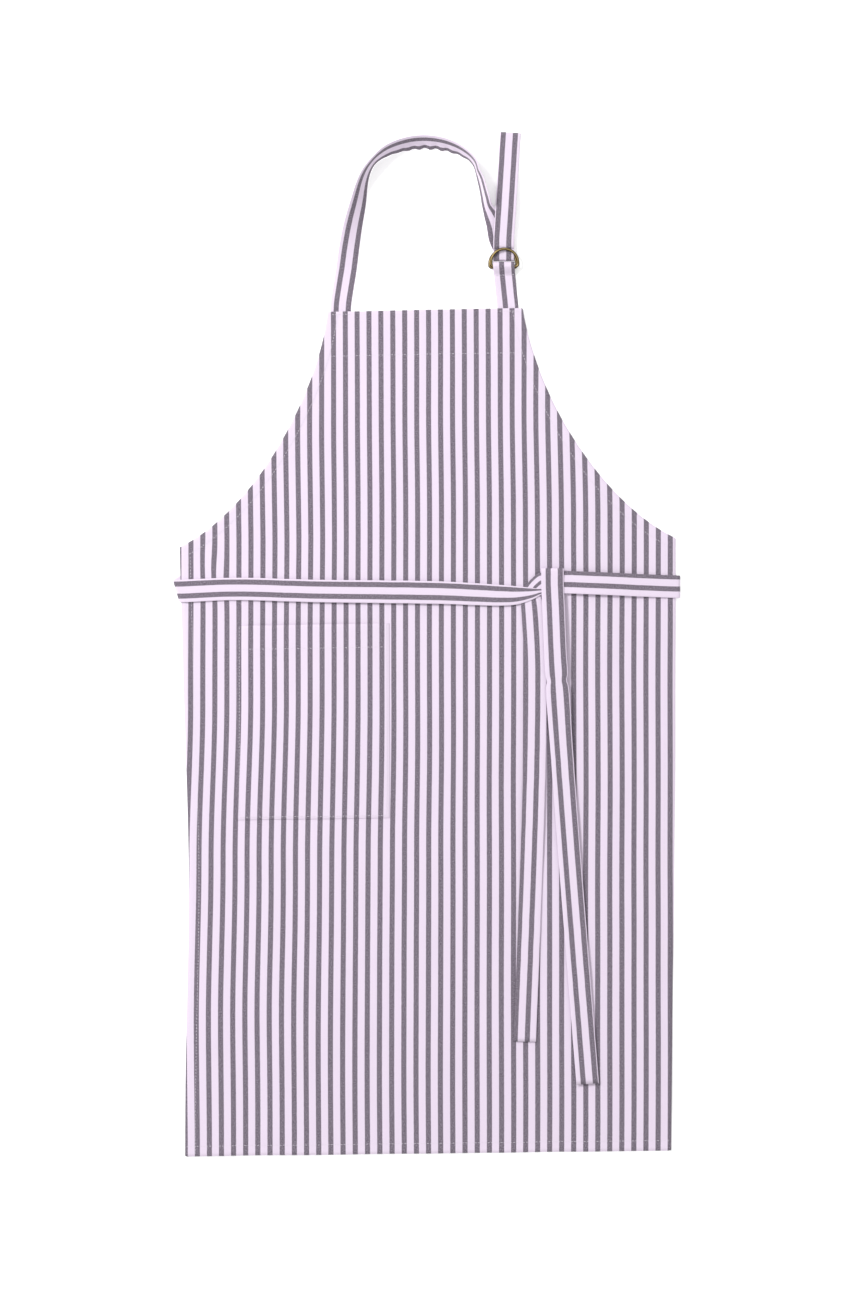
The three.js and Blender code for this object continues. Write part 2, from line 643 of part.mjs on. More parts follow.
function tabStitching() {
  const level = TAB_STITCH_LEVEL + WEBBING / 2 + CLEARANCE + THREAD_HEIGHT;
  const half = STRAP_WIDTH / 2 - 2;
  const y = TAB_STITCH_Y - 1;
  return threadAlong([vector(tabX(y) - half, y, level), vector(tabX(y) + half, y, level)], 1);
}

// ---- Assembly -----------------------------------------------------------------------------------
const strapRoot = bibRoot(loopStart.x);
const tabRoot = bibRoot(TAB_X_AT_BIB);

const notches = [bibRoot(loopStart.x, CLEARANCE), bibRoot(TAB_X_AT_BIB, CLEARANCE), leftRoot, rightRoot];

addPiece('body_panel', bodyPanel(notches), 'stripedCotton');
addPiece('pocket', pocket(), 'stripedCotton');

addPiece('neck_strap_root', ribbon(strapRoot), 'stripedCotton');
addPiece('neck_strap_loop', ribbon(loop), 'stripedCotton');
addPiece('neck_strap_turn', ribbon(strapTurn()), 'stripedCotton');
addPiece('neck_strap_tail', ribbon(strapTail()), 'stripedCotton');
addPiece('ring_tab_root', ribbon(tabRoot), 'stripedCotton');
addPiece('ring_tab', ribbon(ringTab()), 'stripedCotton');
addRing('lower_d_ring', RING_X - RING_SHIFT_X, BAR_Y - RING_SHIFT_Y, LOWER_RING_LEVEL, 0);
addRing('upper_d_ring', RING_X, BAR_Y, UPPER_RING_LEVEL, upperRingTilt());

addPiece('left_tie_root', ribbon(leftRoot), 'stripedCotton');
addPiece('left_tie_run', ribbon(leftRun()), 'stripedCotton');
addPiece('left_tie_turn', ribbon(leftTurnSpec), 'stripedCotton');
addPiece(
  'left_tie_tail',
  ribbon(tieTail(leftTurnSpec.route.getPoint(1), LEFT_TAIL_LEAN, LEFT_TAIL)),
  'stripedCotton',
);
addPiece('right_tie_root', ribbon(rightRoot), 'stripedCotton');
addPiece('right_tie_run', ribbon(rightRun()), 'stripedCotton');
addPiece('right_tie_turn', ribbon(rightTurnSpec), 'stripedCotton');
addPiece(
  'right_tie_tail',
  ribbon(tieTail(rightTurnSpec.route.getPoint(1), RIGHT_TAIL_LEAN, RIGHT_TAIL)),
  'stripedCotton',
);

addPiece('bib_hem_stitching', bibStitchRow(), 'thread');
addPiece('bottom_hem_stitching', bottomStitchRow(), 'thread');
addPiece('left_side_stitching', sideStitchRow(-1), 'thread');
addPiece('right_side_stitching', sideStitchRow(1), 'thread');
addPiece('left_armhole_stitching', armholeStitchRow(-1), 'thread');
addPiece('right_armhole_stitching', armholeStitchRow(1), 'thread');
addPiece('pocket_edge_stitching', pocketEdgeStitching(), 'thread');
addPiece('pocket_hem_stitching', pocketHemStitching(), 'thread');
addPiece('neck_strap_stitching', barAcrossStrap(loopStart.x), 'thread');
addPiece('ring_tab_root_stitching', barAcrossStrap(TAB_X_AT_BIB), 'thread');
addPiece('ring_tab_stitching', tabStitching(), 'thread');
addPiece('left_tie_stitching', barDownTie(leftCrease, -1), 'thread');
addPiece('right_tie_stitching', barDownTie(rightCrease, 1), 'thread');

// The origin is the middle of the apron's footprint, on the surface it lies on.
const footprint = new THREE.Box3().setFromObject(apron);
apron.position.set(
  -(footprint.min.x + footprint.max.x) / 2,
  -(footprint.min.y + footprint.max.y) / 2,
  -footprint.min.z,
);

export default apron;
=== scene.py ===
"""Striped bib apron, laid flat.

A cotton body with turned hems and a patch pocket, a neck strap through two D-rings, and waist ties in a knot.
"""
import math

import bmesh
import bpy
from mathutils import Matrix, Vector, noise


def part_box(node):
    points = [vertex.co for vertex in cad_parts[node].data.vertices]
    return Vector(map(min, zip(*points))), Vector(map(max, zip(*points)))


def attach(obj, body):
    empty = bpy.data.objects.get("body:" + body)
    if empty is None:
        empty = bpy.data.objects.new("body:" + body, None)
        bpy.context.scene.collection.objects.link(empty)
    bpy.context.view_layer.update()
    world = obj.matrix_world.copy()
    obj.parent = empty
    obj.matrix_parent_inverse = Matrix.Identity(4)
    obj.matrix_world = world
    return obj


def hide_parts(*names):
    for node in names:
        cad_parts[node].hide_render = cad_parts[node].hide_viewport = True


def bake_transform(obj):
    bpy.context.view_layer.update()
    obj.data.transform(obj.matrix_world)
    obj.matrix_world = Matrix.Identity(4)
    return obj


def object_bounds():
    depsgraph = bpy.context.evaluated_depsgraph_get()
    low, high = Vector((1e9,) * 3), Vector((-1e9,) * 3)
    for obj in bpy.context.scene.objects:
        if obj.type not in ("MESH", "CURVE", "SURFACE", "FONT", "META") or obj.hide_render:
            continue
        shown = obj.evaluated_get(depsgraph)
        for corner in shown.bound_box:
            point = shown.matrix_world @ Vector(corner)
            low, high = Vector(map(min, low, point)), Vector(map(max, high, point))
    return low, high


bl_info = {
    "name": "Striped bib apron",
    "version": (1, 0, 0),
    "blender": (4, 5, 0),
    "location": "3D View > Sidebar > Apron",
    "description": "Builds the cloth, stitching and finishes of a striped bib apron around its packed frame",
    "category": "Object",
}

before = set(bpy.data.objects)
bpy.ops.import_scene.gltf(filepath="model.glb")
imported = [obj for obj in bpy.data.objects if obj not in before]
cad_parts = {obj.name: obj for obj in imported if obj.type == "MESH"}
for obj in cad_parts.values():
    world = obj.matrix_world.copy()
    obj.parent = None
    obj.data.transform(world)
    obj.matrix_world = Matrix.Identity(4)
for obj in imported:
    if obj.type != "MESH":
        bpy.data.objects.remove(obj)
CAD_BOX = [list(corner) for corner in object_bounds()]

# Lengths below are millimetres of the apron as it lies: x from the skirt's middle, y up from the foot, and z
# up from the back of its hems. place() turns them into the frame's metres.
MM = 0.001
PANEL_LOW, PANEL_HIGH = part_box("body_panel")
MIDDLE_X = (PANEL_LOW.x + PANEL_HIGH.x) / 2


def place(x, y, z):
    return Vector((MIDDLE_X + x * MM, PANEL_LOW.y + y * MM, PANEL_LOW.z + z * MM))


def spot(point):
    """A place in the frame, in millimetres of the apron."""
    return Vector(((point.x - MIDDLE_X) / MM, (point.y - PANEL_LOW.y) / MM, (point.z - PANEL_LOW.z) / MM))


def node_box(node):
    low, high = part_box(node)
    return spot(low), spot(high)


# ---- Settings ------------------------------------------------------------------------------------
def length(name, description, default):
    return bpy.props.FloatProperty(
        name=name, description=description, default=default, unit="LENGTH", precision=4)


def colour(name, description, default):
    return bpy.props.FloatVectorProperty(
        name=name, description=description, default=default, subtype="COLOR", size=3, min=0.0, max=1.0)


def amount(name, description, default):
    return bpy.props.FloatProperty(name=name, description=description, default=default, min=0.0)


class ApronCut(bpy.types.PropertyGroup):
    cloth: length("Cloth", "Thickness of the body cloth", 0.0003)
    strap_thickness: length("Strap thickness", "Thickness of a folded and pressed strap", 0.0009)
    strap_width: length("Strap width", "Width of the neck strap", 0.0214)
    tab_width: length("Tab width", "Width of the tab that holds the rings", 0.022)
    tie_width: length("Tie width", "Width of the waist ties", 0.0232)
    side_hem: length("Side hem", "Cloth turned back along the sides and armholes", 0.011)
    bottom_hem: length("Bottom hem", "Cloth turned back along the foot", 0.011)
    bib_hem: length("Bib hem", "Cloth turned back along the bib's top edge", 0.047)
    pocket_hem: length("Pocket hem", "Cloth turned in at the pocket's mouth", 0.025)
    stitch: length("Stitch", "Length of one stitch", 0.0026)
    stitch_gap: length("Stitch gap", "Cloth between two stitches", 0.0007)


class ApronColours(bpy.types.PropertyGroup):
    repeat: length("Stripe repeat", "From one dark stripe to the next", 0.01242)
    dark_stripe: length("Dark stripe", "Width of a dark stripe", 0.0053)
    light: colour("Light yarn", "Lilac warp yarn", (0.76, 0.655, 0.79))
    dark: colour("Dark yarn", "Charcoal-mauve warp yarn", (0.074, 0.058, 0.082))
    weft: colour("Weft yarn", "Pale yarn that crosses both", (0.74, 0.65, 0.77))
    thread: colour("Thread", "Sewing thread", (0.8, 0.74, 0.82))
    # Besides their own colours, brass is painted as a highlight on top of the rings' wire, and patina as a
    # dark painted reflection down its sides.
    brass: colour("Brass", "Worn brass", (0.5, 0.38, 0.17))
    patina_and_painted_reflection: colour("Patina", "Dark antique finish left on the brass", (0.08, 0.052, 0.022))


class ApronStudio(bpy.types.PropertyGroup):
    lens: amount("Lens", "Focal length in millimetres", 85.0)
    view_height: length("View height", "Height of the table that the camera sees", 1.3287)
    sky: amount("Sky", "Strength of the even white light", 0.79)
    key: bpy.props.FloatProperty(
        name="Key light", description="Power of the soft light", default=114.0, unit="POWER")
    table: colour("Table", "Colour of the surface that the apron lies on", (0.93, 0.93, 0.93))


# ---- Curves and shares ---------------------------------------------------------------------------
def smooth(value, low, high):
    share = min(max((value - low) / (high - low), 0.0), 1.0)
    return share * share * (3 - 2 * share)


def mix(a, b, share):
    return a + (b - a) * share


def swell(value, middle, reach):
    return math.exp(-((value - middle) / reach) ** 2)


def eased(value, points):
    """Follows (value, result) points with a smooth step between each two."""
    for (low, below), (high, above) in zip(points, points[1:]):
        if value <= high:
            return mix(below, above, smooth(value, low, high))
    return points[-1][1]


def grain(x, y, size, seed):
    return noise.noise(Vector((x / size, y / size, seed)))


# ---- Outline of the body -------------------------------------------------------------------------
PANEL_LENGTH = (PANEL_HIGH.y - PANEL_LOW.y) / MM
WAIST_HALF = (PANEL_HIGH.x - PANEL_LOW.x) / MM / 2
HEM_HALF = WAIST_HALF - 4
SKIRT_LENGTH = PANEL_LENGTH - 240
BIB_HALF = 100
BIB_OFFSET = -3
STRAP_SEWN = 26    # how far the neck strap and the ring tab reach down behind the bib
ARMHOLE = (
    (BIB_HALF, PANEL_LENGTH), (BIB_HALF + 12, SKIRT_LENGTH + 150), (180, SKIRT_LENGTH + 36),
    (WAIST_HALF, SKIRT_LENGTH),
)


def armhole(t, side, inset=0.0):
    """A point of one armhole, from the bib's corner at 0 to the waist's at 1, moved inwards by the inset."""
    a, b, c, d = (Vector(corner) for corner in ARMHOLE)
    point = a * (1 - t) ** 3 + b * 3 * t * (1 - t) ** 2 + c * 3 * t * t * (1 - t) + d * t ** 3
    way = ((b - a) * (1 - t) ** 2 + (c - b) * 2 * t * (1 - t) + (d - c) * t * t).normalized()
    bib_share = (point.y - SKIRT_LENGTH) / (PANEL_LENGTH - SKIRT_LENGTH)
    return Vector((side * (point.x + way.y * inset) + BIB_OFFSET * bib_share, point.y - way.x * inset))


def side_x(y, side):
    """The skirt's edge as it lies: the left one drawn in beside the pocket, the right one eased out."""
    cut = mix(HEM_HALF, WAIST_HALF, y / SKIRT_LENGTH)
    if side < 0:
        return -cut + 5.7 * swell(y, 290, 175) - 1.4 * swell(y, 625, 60)
    return cut + 1.6 * swell(y, 400, 220)


# ---- Lie of the cloth ----------------------------------------------------------------------------
FACE_LEVEL = 1.7    # height of the body cloth's even level
STRIPE_AT = -36.2    # where the middle of one dark stripe lies
# How far the stripes of the skirt's left half are swayed to the right, by height above the foot.
SWAY = ((0, -2.6), (140, -3.7), (304, -1.2), (470, 2.8), (630, 3.1), (760, 0.5), (900, 0.0))
# Long, slow waves: direction in degrees, wavelength, height and phase.
WAVES = (
    (6, 74, 0.16, 0.4), (-11, 41, 0.1, 1.9), (83, 150, 0.2, 2.6), (58, 96, 0.12, 0.9), (-68, 66, 0.08, 3.3),
)
HIGHEST_WAVE, LOWEST_WAVE = 0.72, 0.38
# Rows of stitches, from the edge that they close.
HEM_ROW = 10
BIB_ROW = 45.5


def stripe_x(x, y):
    """Where a point of the laid cloth was across the flat cloth, measured from a dark stripe's middle."""
    left_share = smooth(-x, -100, 240)
    bib_squeeze = 0.012 * (x - STRIPE_AT) * smooth(y, 650, 780)
    kink = 1.5 * swell(x + (y - 600) * 0.3, -218, 11) * swell(y, 603, 24)
    return x - STRIPE_AT - eased(y, SWAY) * left_share + bib_squeeze + kink


def relief(x, y):
    """Rise of the body cloth over its even level."""
    rise = 0.32 * grain(x, y * 0.6, 62, 3.1) + 0.16 * grain(x, y * 0.7, 21, 8.4)
    for direction, wavelength, height, phase in WAVES:
        turn = math.radians(direction)
        rise += height * math.sin(math.tau * (x * math.cos(turn) + y * math.sin(turn)) / wavelength + phase)
    # Drag lines below the left waist corner, and two short ones above the knot.
    across = (x + 214) * 0.9 + (y - 600) * 0.42
    rise += (0.75 * swell(across, 0, 5.5) - 0.5 * swell(across, 11, 6)) * swell(y, 605, 34)
    rise += 0.4 * swell((x - 118) * 0.9 - (y - 612) * 0.4, 0, 5) * swell(y, 612, 20)
    limit = HIGHEST_WAVE if rise > 0 else LOWEST_WAVE
    return limit * math.tanh(rise / limit)


def pucker(along, from_edge, hem):
    """Small waves that a row of stitches draws into a hem."""
    near = swell(from_edge, hem * 0.75, hem * 0.55)
    ripple = 0.13 * math.sin(along / 1.55 + 1.3 * grain(along, hem, 31, 6.6))
    return near * (ripple + 0.1 * grain(along, hem, 9, 4.2))


def stitch_sink(from_row):
    return -0.2 * swell(from_row, 0, 1.6)


ARMHOLE_STEPS = [armhole(1 - i / 60, 1) for i in range(61)]


def from_side(x, y):
    """Distance in from the nearer side or armhole."""
    if y < SKIRT_LENGTH:
        return min(x - side_x(y, -1), side_x(y, 1) - x)
    x = abs(x - BIB_OFFSET * (y - SKIRT_LENGTH) / (PANEL_LENGTH - SKIRT_LENGTH))
    for low, high in zip(ARMHOLE_STEPS, ARMHOLE_STEPS[1:]):
        if y <= high.y:
            rise = high - low
            return (mix(low.x, high.x, (y - low.y) / rise.y) - x) * rise.y / rise.length
    return ARMHOLE_STEPS[-1].x - x


def border(x, y):
    """Hem relief near the edges of the body."""
    inwards = from_side(x, y)
    foot, top = y, PANEL_LENGTH - y
    rise = pucker(y, inwards, 11) + pucker(x, foot, 11) + 0.5 * pucker(x, top, 44)
    return rise + stitch_sink(inwards - HEM_ROW) + stitch_sink(foot - HEM_ROW) + stitch_sink(top - BIB_ROW)


LOWEST_CLOTH = 0.2    # so that a dip stays clear of the table


def laid(x, y, lift=0.0):
    """Frame place of a point of the body as it lies, lift above the cloth's own middle."""
    slope = mix(0.0124, 0.0195, y / PANEL_LENGTH)
    shift_x = 0.45 * grain(x, y * 0.8, 85, 1.7)
    shift_y = mix(2.6, 0.9, y / PANEL_LENGTH) + slope * x + 0.5 * grain(x, y * 0.5, 70, 5.2)
    height = FACE_LEVEL + relief(x, y) + border(x, y) + lift
    return place(x + shift_x, y + shift_y, max(height, LOWEST_CLOTH))


# ---- Mesh tools ----------------------------------------------------------------------------------
COLUMN, ROW = 0, 1


class Cloth:
    """A bmesh grid whose points know where they lie and where they are in the flat cloth, in millimetres."""

    def __init__(self, columns, rows):
        self.mesh = bmesh.new()
        self.columns = columns
        self.rows = rows
        bmesh.ops.create_grid(self.mesh, x_segments=columns, y_segments=rows, size=0.5)
        self.grid = {}
        self.lie = {}
        self.flat = {}

    def each(self):
        """Every grid point with its column and row."""
        for vert in self.mesh.verts:
            self.grid[vert] = (round((vert.co.x + 0.5) * self.columns), round((vert.co.y + 0.5) * self.rows))
            yield vert, *self.grid[vert]

    def rim(self):
        """The cloth's open edges."""
        return [edge for edge in self.mesh.edges if edge.is_boundary]

    def edges_along(self, edges, axis, *lines):
        """Those of the edges that run along one of the given columns or rows."""
        return [edge for edge in edges
                if any(all(self.grid[vert][axis] == line for vert in edge.verts) for line in lines)]

    def turn_under(self, edges, profile, inset):
        """Folds edges to the back through (depth, drop) steps.

        inset(vert, depth, drop) says where the point that starts from vert lies at that step.
        """
        root = {vert: vert for edge in edges for vert in edge.verts}
        for depth, drop in profile:
            fresh = bmesh.ops.extrude_edge_only(self.mesh, edges=edges)["geom"]
            next_root = {}
            for vert in (part for part in fresh if isinstance(part, bmesh.types.BMVert)):
                neighbours = (edge.other_vert(vert) for edge in vert.link_edges)
                start = next(root[other] for other in neighbours if other in root)
                next_root[vert] = start
                x, y = self.lie[start][:2]
                inner = inset(start, depth, drop)
                self.lie[vert] = inner
                flat_x, flat_y = self.flat[start]
                self.flat[vert] = (flat_x - (inner[0] - x), flat_y - (inner[1] - y))
            root = next_root
            edges = [part for part in fresh if isinstance(part, bmesh.types.BMEdge)
                     and all(vert in root for vert in part.verts)]

    def settle(self, position, dark_at=lambda face: 0.0):
        """Moves every point to its place and writes the flat cloth as the UV map, with a dark stripe at 0."""
        for vert in self.mesh.verts:
            vert.co = position(*self.lie[vert])
        layer = self.mesh.loops.layers.uv.new("Cloth")
        for face in self.mesh.faces:
            dark = dark_at(face)
            for loop in face.loops:
                flat_x, flat_y = self.flat[loop.vert]
                loop[layer].uv = ((flat_x - dark) * MM, flat_y * MM)


def make_piece(name, mesh, material):
    data = bpy.data.meshes.new(name)
    mesh.to_mesh(data)
    mesh.free()
    data.materials.append(material)
    data.polygons.foreach_set("use_smooth", [True] * len(data.polygons))
    piece = bpy.data.objects.new(name, data)
    bpy.context.scene.collection.objects.link(piece)
    return piece


def thicken(piece, thickness):
    wall = piece.modifiers.new("Cloth thickness", "SOLIDIFY")
    wall.thickness = thickness
    wall.offset = 0.0


def folded_hem(depth, drop):
    """Profile of a hem turned to the back, with its raw edge tucked in: (depth, drop) steps."""
    return (
        (-0.22, drop * 0.22), (-0.34, drop * 0.5), (-0.22, drop * 0.8), (0.35, drop), (depth * 0.5, drop),
        (depth, drop), (depth + 0.15, drop * 0.88), (depth - 0.3, drop * 0.76), (depth - 2.2, drop * 0.74),
    )


# ---- Straps --------------------------------------------------------------------------------------
class Station:
    """A point of a strap's middle, with its width, its lean in degrees and, for a crease, its way across."""

    def __init__(self, x, y, z, width=None, lean=0.0, across=None):
        self.numbers = Vector((x, y, z, width if width is not None else 0.0, lean))
        self.has_width = width is not None
        self.across = across


def stations_at(points, across=None):
    """Stations from (x, y, z) or (x, y, z, width) points."""
    return [Station(*point, across=across) for point in points]


def hermite(a, b, c, d):
    """Centripetal Catmull-Rom between the middle two of four stations, as a function of 0 to 1."""
    gaps = [max((q.xyz - p.xyz).length, 1e-4) ** 0.5 for p, q in ((a, b), (b, c), (c, d))]
    enter = ((b - a) / gaps[0] - (c - a) / (gaps[0] + gaps[1]) + (c - b) / gaps[1]) * gaps[1]
    leave = ((c - b) / gaps[1] - (d - b) / (gaps[1] + gaps[2]) + (d - c) / gaps[2]) * gaps[1]
    return lambda t: (b * (2 * t ** 3 - 3 * t ** 2 + 1) + enter * (t ** 3 - 2 * t ** 2 + t)
                      + c * (3 * t ** 2 - 2 * t ** 3) + leave * (t ** 3 - t ** 2))


SPLINE_STEPS = 24    # fine steps between two stations
LARGEST_TURN = math.radians(11)    # between two rows of a strap


def follow(stations, step):
    """Rows along a spline through the stations, closer together where it turns.

    A row is the strap's numbers there, its direction, and its span between two stations with its share of it.
    """
    numbers = [station.numbers for station in stations]
    padded = [numbers[0] * 2 - numbers[1], *numbers, numbers[-1] * 2 - numbers[-2]]
    fine = []
    for span in range(len(numbers) - 1):
        curve = hermite(*padded[span:span + 4])
        fine += [(curve(i / SPLINE_STEPS), span, i / SPLINE_STEPS) for i in range(SPLINE_STEPS)]
    fine.append((numbers[-1], len(numbers) - 2, 1.0))
    rows = []
    spent = 0.0
    last_way = None
    for i, (here, span, share) in enumerate(fine):
        ahead, behind = fine[min(i + 1, len(fine) - 1)][0], fine[max(i - 1, 0)][0]
        way = (ahead.xyz - behind.xyz).normalized()
        if last_way is not None:
            spent += (here.xyz - fine[i - 1][0].xyz).length / step
            spent += way.angle(last_way, 0.0) / LARGEST_TURN
        last_way = way
        if i in (0, len(fine) - 1) or spent >= 1:
            rows.append((here, way, span, share))
            spent = 0.0
    return rows


def strap_outline():
    """Section of a pressed strap, round at its folds, in shares of its half width and half thickness."""
    face = [(-0.92 + 0.23 * i, 1.0) for i in range(9)]
    fold = [(0.975, 0.72), (1.0, 0.0), (0.975, -0.72)]
    back = [(share, -1.0) for share, rise in reversed(face)]
    return [*face, *fold, *back, *((-share, -rise) for share, rise in fold)]


UP = Vector((0, 0, 1))
RIGHT = Vector((1, 0, 0))
LEFT = Vector((-1, 0, 0))
LOWEST_STRAP = (CAD_BOX[0][2] - PANEL_LOW.z) / MM + 0.02    # just clear of the table


def strap(name, stations, width, thickness, dark, shape=None, step=4.0):
    """A folded strap and its length.

    dark is how far a dark stripe's middle is from the strap's left edge, on its face and on its back.
    shape(share of the length, share of the half width, share of the full width) adds to its height.
    """
    dark_on_face, dark_on_back = dark
    for station in stations:
        if not station.has_width:
            station.numbers[3] = width
    rows = follow(stations, step)
    outline = strap_outline()
    cloth = Cloth(len(outline), len(rows) - 1)
    travelled = [0.0]
    for (here, *_), (there, *_) in zip(rows, rows[1:]):
        travelled.append(travelled[-1] + (there.xyz - here.xyz).length)
    on_back = {}
    for vert, column, row in cloth.each():
        here, along, span, share_along = rows[row]
        square = Vector((along.y, -along.x, 0)).normalized()
        ends = [stations[span].across or square, stations[span + 1].across or square]
        across = ends[0].lerp(ends[1], smooth(share_along, 0, 1))
        lean = math.radians(max(here[4], 0.0))
        if lean:
            across = across * math.cos(lean) - UP * math.sin(lean)
        outward = across.cross(along).normalized()
        share, rise = outline[column % len(outline)]
        half = here[3] / 2
        lift = rise * thickness / 2 + 0.07 * grain(travelled[row], share * 6, 9, 2.2 + len(name))
        sideways = share * half + 0.16 * grain(travelled[row], 0, 16, 4.0 + len(name))
        if shape:
            lift += shape(travelled[row] / travelled[-1], share, half * 2 / width)
        lie = here.xyz + across * sideways + outward * lift
        lie.z = max(lie.z, LOWEST_STRAP)
        cloth.lie[vert] = lie
        cloth.flat[vert] = ((share + 1) * width / 2, travelled[row])
        on_back[vert] = rise < 0

    def dark_at(face):
        return dark_on_back if sum(on_back[vert] for vert in face.verts) >= 2 else dark_on_face

    cloth.settle(place, dark_at)
    bmesh.ops.remove_doubles(cloth.mesh, verts=cloth.mesh.verts, dist=1e-6)
    bmesh.ops.holes_fill(cloth.mesh, edges=cloth.rim(), sides=0)
    bmesh.ops.recalc_face_normals(cloth.mesh, faces=cloth.mesh.faces)
    return make_piece(name, cloth.mesh, finish_of("striped_cotton")), travelled[-1]


def declare_strap(width, run):
    run * MM


# ---- Materials -----------------------------------------------------------------------------------
class Socket:
    """A node's output in a shader sum."""

    def __init__(self, paint, output):
        self.paint = paint
        self.output = output

    def also(self, output):
        """Another output of the same node."""
        return Socket(self.paint, self.output.node.outputs[output])

    def sum(self, operation, *values):
        return self.paint.math(operation, *values)

    def __add__(self, other):
        return self.sum("ADD", self, other)

    def __radd__(self, other):
        return self.sum("ADD", other, self)

    def __sub__(self, other):
        return self.sum("SUBTRACT", self, other)

    def __rsub__(self, other):
        return self.sum("SUBTRACT", other, self)

    def __mul__(self, other):
        return self.sum("MULTIPLY", self, other)

    def __rmul__(self, other):
        return self.sum("MULTIPLY", other, self)

    def __truediv__(self, other):
        return self.sum("DIVIDE", self, other)


class Paint:
    """A material being made, and the one way that its nodes are added."""

    def __init__(self, name):
        self.material = bpy.data.materials.new(name)
        self.material.use_nodes = True
        self.tree = self.material.node_tree
        self.shader = self.tree.nodes["Principled BSDF"]

    def put(self, kind, settings=None, inputs=None, output=0):
        node = self.tree.nodes.new(kind)
        for key, value in (settings or {}).items():
            setattr(node, key, value)
        for key, value in (inputs or {}).items():
            self.join(node.inputs[key], value)
        return Socket(self, node.outputs[output])

    def join(self, target, value):
        if isinstance(value, Socket):
            self.tree.links.new(value.output, target)
        else:
            target.default_value = value

    def math(self, operation, *values, clamp=False):
        settings = {"operation": operation, "use_clamp": clamp}
        return self.put("ShaderNodeMath", settings, dict(enumerate(values)))

    def clamp(self, value):
        return self.math("ADD", value, 0.0, clamp=True)

    def noise(self, vector, scale, detail=2.0):
        inputs = {"Vector": vector, "Scale": scale, "Detail": detail, "Roughness": 0.6}
        return self.put("ShaderNodeTexNoise", {"noise_dimensions": "3D"}, inputs)

    def mix(self, share, first, second):
        inputs = {0: share, 6: first, 7: second}
        return self.put("ShaderNodeMix", {"data_type": "RGBA"}, inputs, output=2)

    def finish(self, colour, roughness, height, strength, distance, **constants):
        bump = {"Height": height, "Strength": strength, "Distance": distance}
        normal = self.put("ShaderNodeBump", {}, bump)
        inputs = {"Base Color": colour, "Roughness": roughness, "Normal": normal, **constants}
        for name, value in inputs.items():
            self.join(self.shader.inputs[name], value)
        return self.material


def opaque(rgb):
    return (*rgb, 1.0)


# Length of the weave's repeat, which is two threads, in millimetres.
WEAVE_REPEAT = 0.46


def striped_cotton(colours):
    """Yarn-dyed stripes in a plain weave. The flat cloth's UV map has a dark stripe's middle at 0."""
    paint = Paint("striped_cotton_weave")
    cloth = paint.put("ShaderNodeUVMap", {"uv_map": "Cloth"})
    split = paint.put("ShaderNodeSeparateXYZ", {}, {0: cloth})
    u = split / MM
    v = split.also(1) / MM
    repeat, dark_half = colours.repeat / MM, colours.dark_stripe / MM / 2

    def streaks(across, along, seed):
        vector = paint.put("ShaderNodeCombineXYZ", {}, {0: u * across, 1: v * along, 2: seed})
        return paint.noise(vector, 1.0)

    wander = (streaks(0.25, 0.9, 1.0) - 0.5) * 0.55
    in_repeat = paint.math("FRACT", (u + wander) / repeat + 0.5) - 0.5
    from_dark = paint.math("ABSOLUTE", in_repeat) * repeat
    dark = paint.clamp((dark_half - from_dark) / 0.4 + 0.5)

    warp_slub = streaks(3.2, 0.55, 4.0)
    weft_slub = streaks(0.5, 3.4, 7.0)
    patches = streaks(0.9, 0.9, 12.0)
    skew = (streaks(0.2, 0.2, 15.0) - 0.5) * 0.9
    ends = paint.math("SINE", (u + skew) * (math.tau / WEAVE_REPEAT))
    picks = paint.math("SINE", (v + skew) * (math.tau / WEAVE_REPEAT))
    warp_up = paint.clamp(ends * picks * 0.8 + 0.62)

    heather = paint.clamp((weft_slub - 0.5) * 2.2 + (patches - 0.5) * 3.2 + 0.34)
    dark_yarn = paint.mix(paint.clamp((warp_slub - 0.5) * 0.9), opaque(colours.dark), opaque(colours.weft))
    dark_cloth = paint.mix(heather * 0.24, dark_yarn, opaque(colours.weft))
    light_deep = tuple(channel * 0.86 for channel in colours.light)
    deepened = paint.clamp(warp_slub * 0.9 + patches * 0.5 - 0.45)
    light_cloth = paint.mix(deepened, opaque(colours.light), opaque(light_deep))
    warp = paint.mix(dark, light_cloth, dark_cloth)
    colour = paint.mix((1.0 - warp_up) * (0.5 - dark * 0.38), warp, opaque(colours.weft))
    height = warp_up * 0.5 + warp_slub * 0.5 + weft_slub * 0.5
    return paint.finish(
        colour, 0.8 + warp_slub * 0.18, height, 0.35, 0.0003,
        **{"Sheen Weight": 0.12, "Sheen Roughness": 0.5, "Specular IOR Level": 0.25})


def sewing_thread(colours):
    paint = Paint("cotton_thread")
    here = paint.put("ShaderNodeTexCoord", output=3)
    fuzz = paint.noise(here, 1800.0)
    shade = tuple(channel * 0.78 for channel in colours.thread)
    colour = paint.mix(paint.clamp((fuzz - 0.35) * 1.8), opaque(shade), opaque(colours.thread))
    return paint.finish(colour, 0.55 + fuzz * 0.3, fuzz, 0.4, 0.0001, **{"Sheen Weight": 0.1})


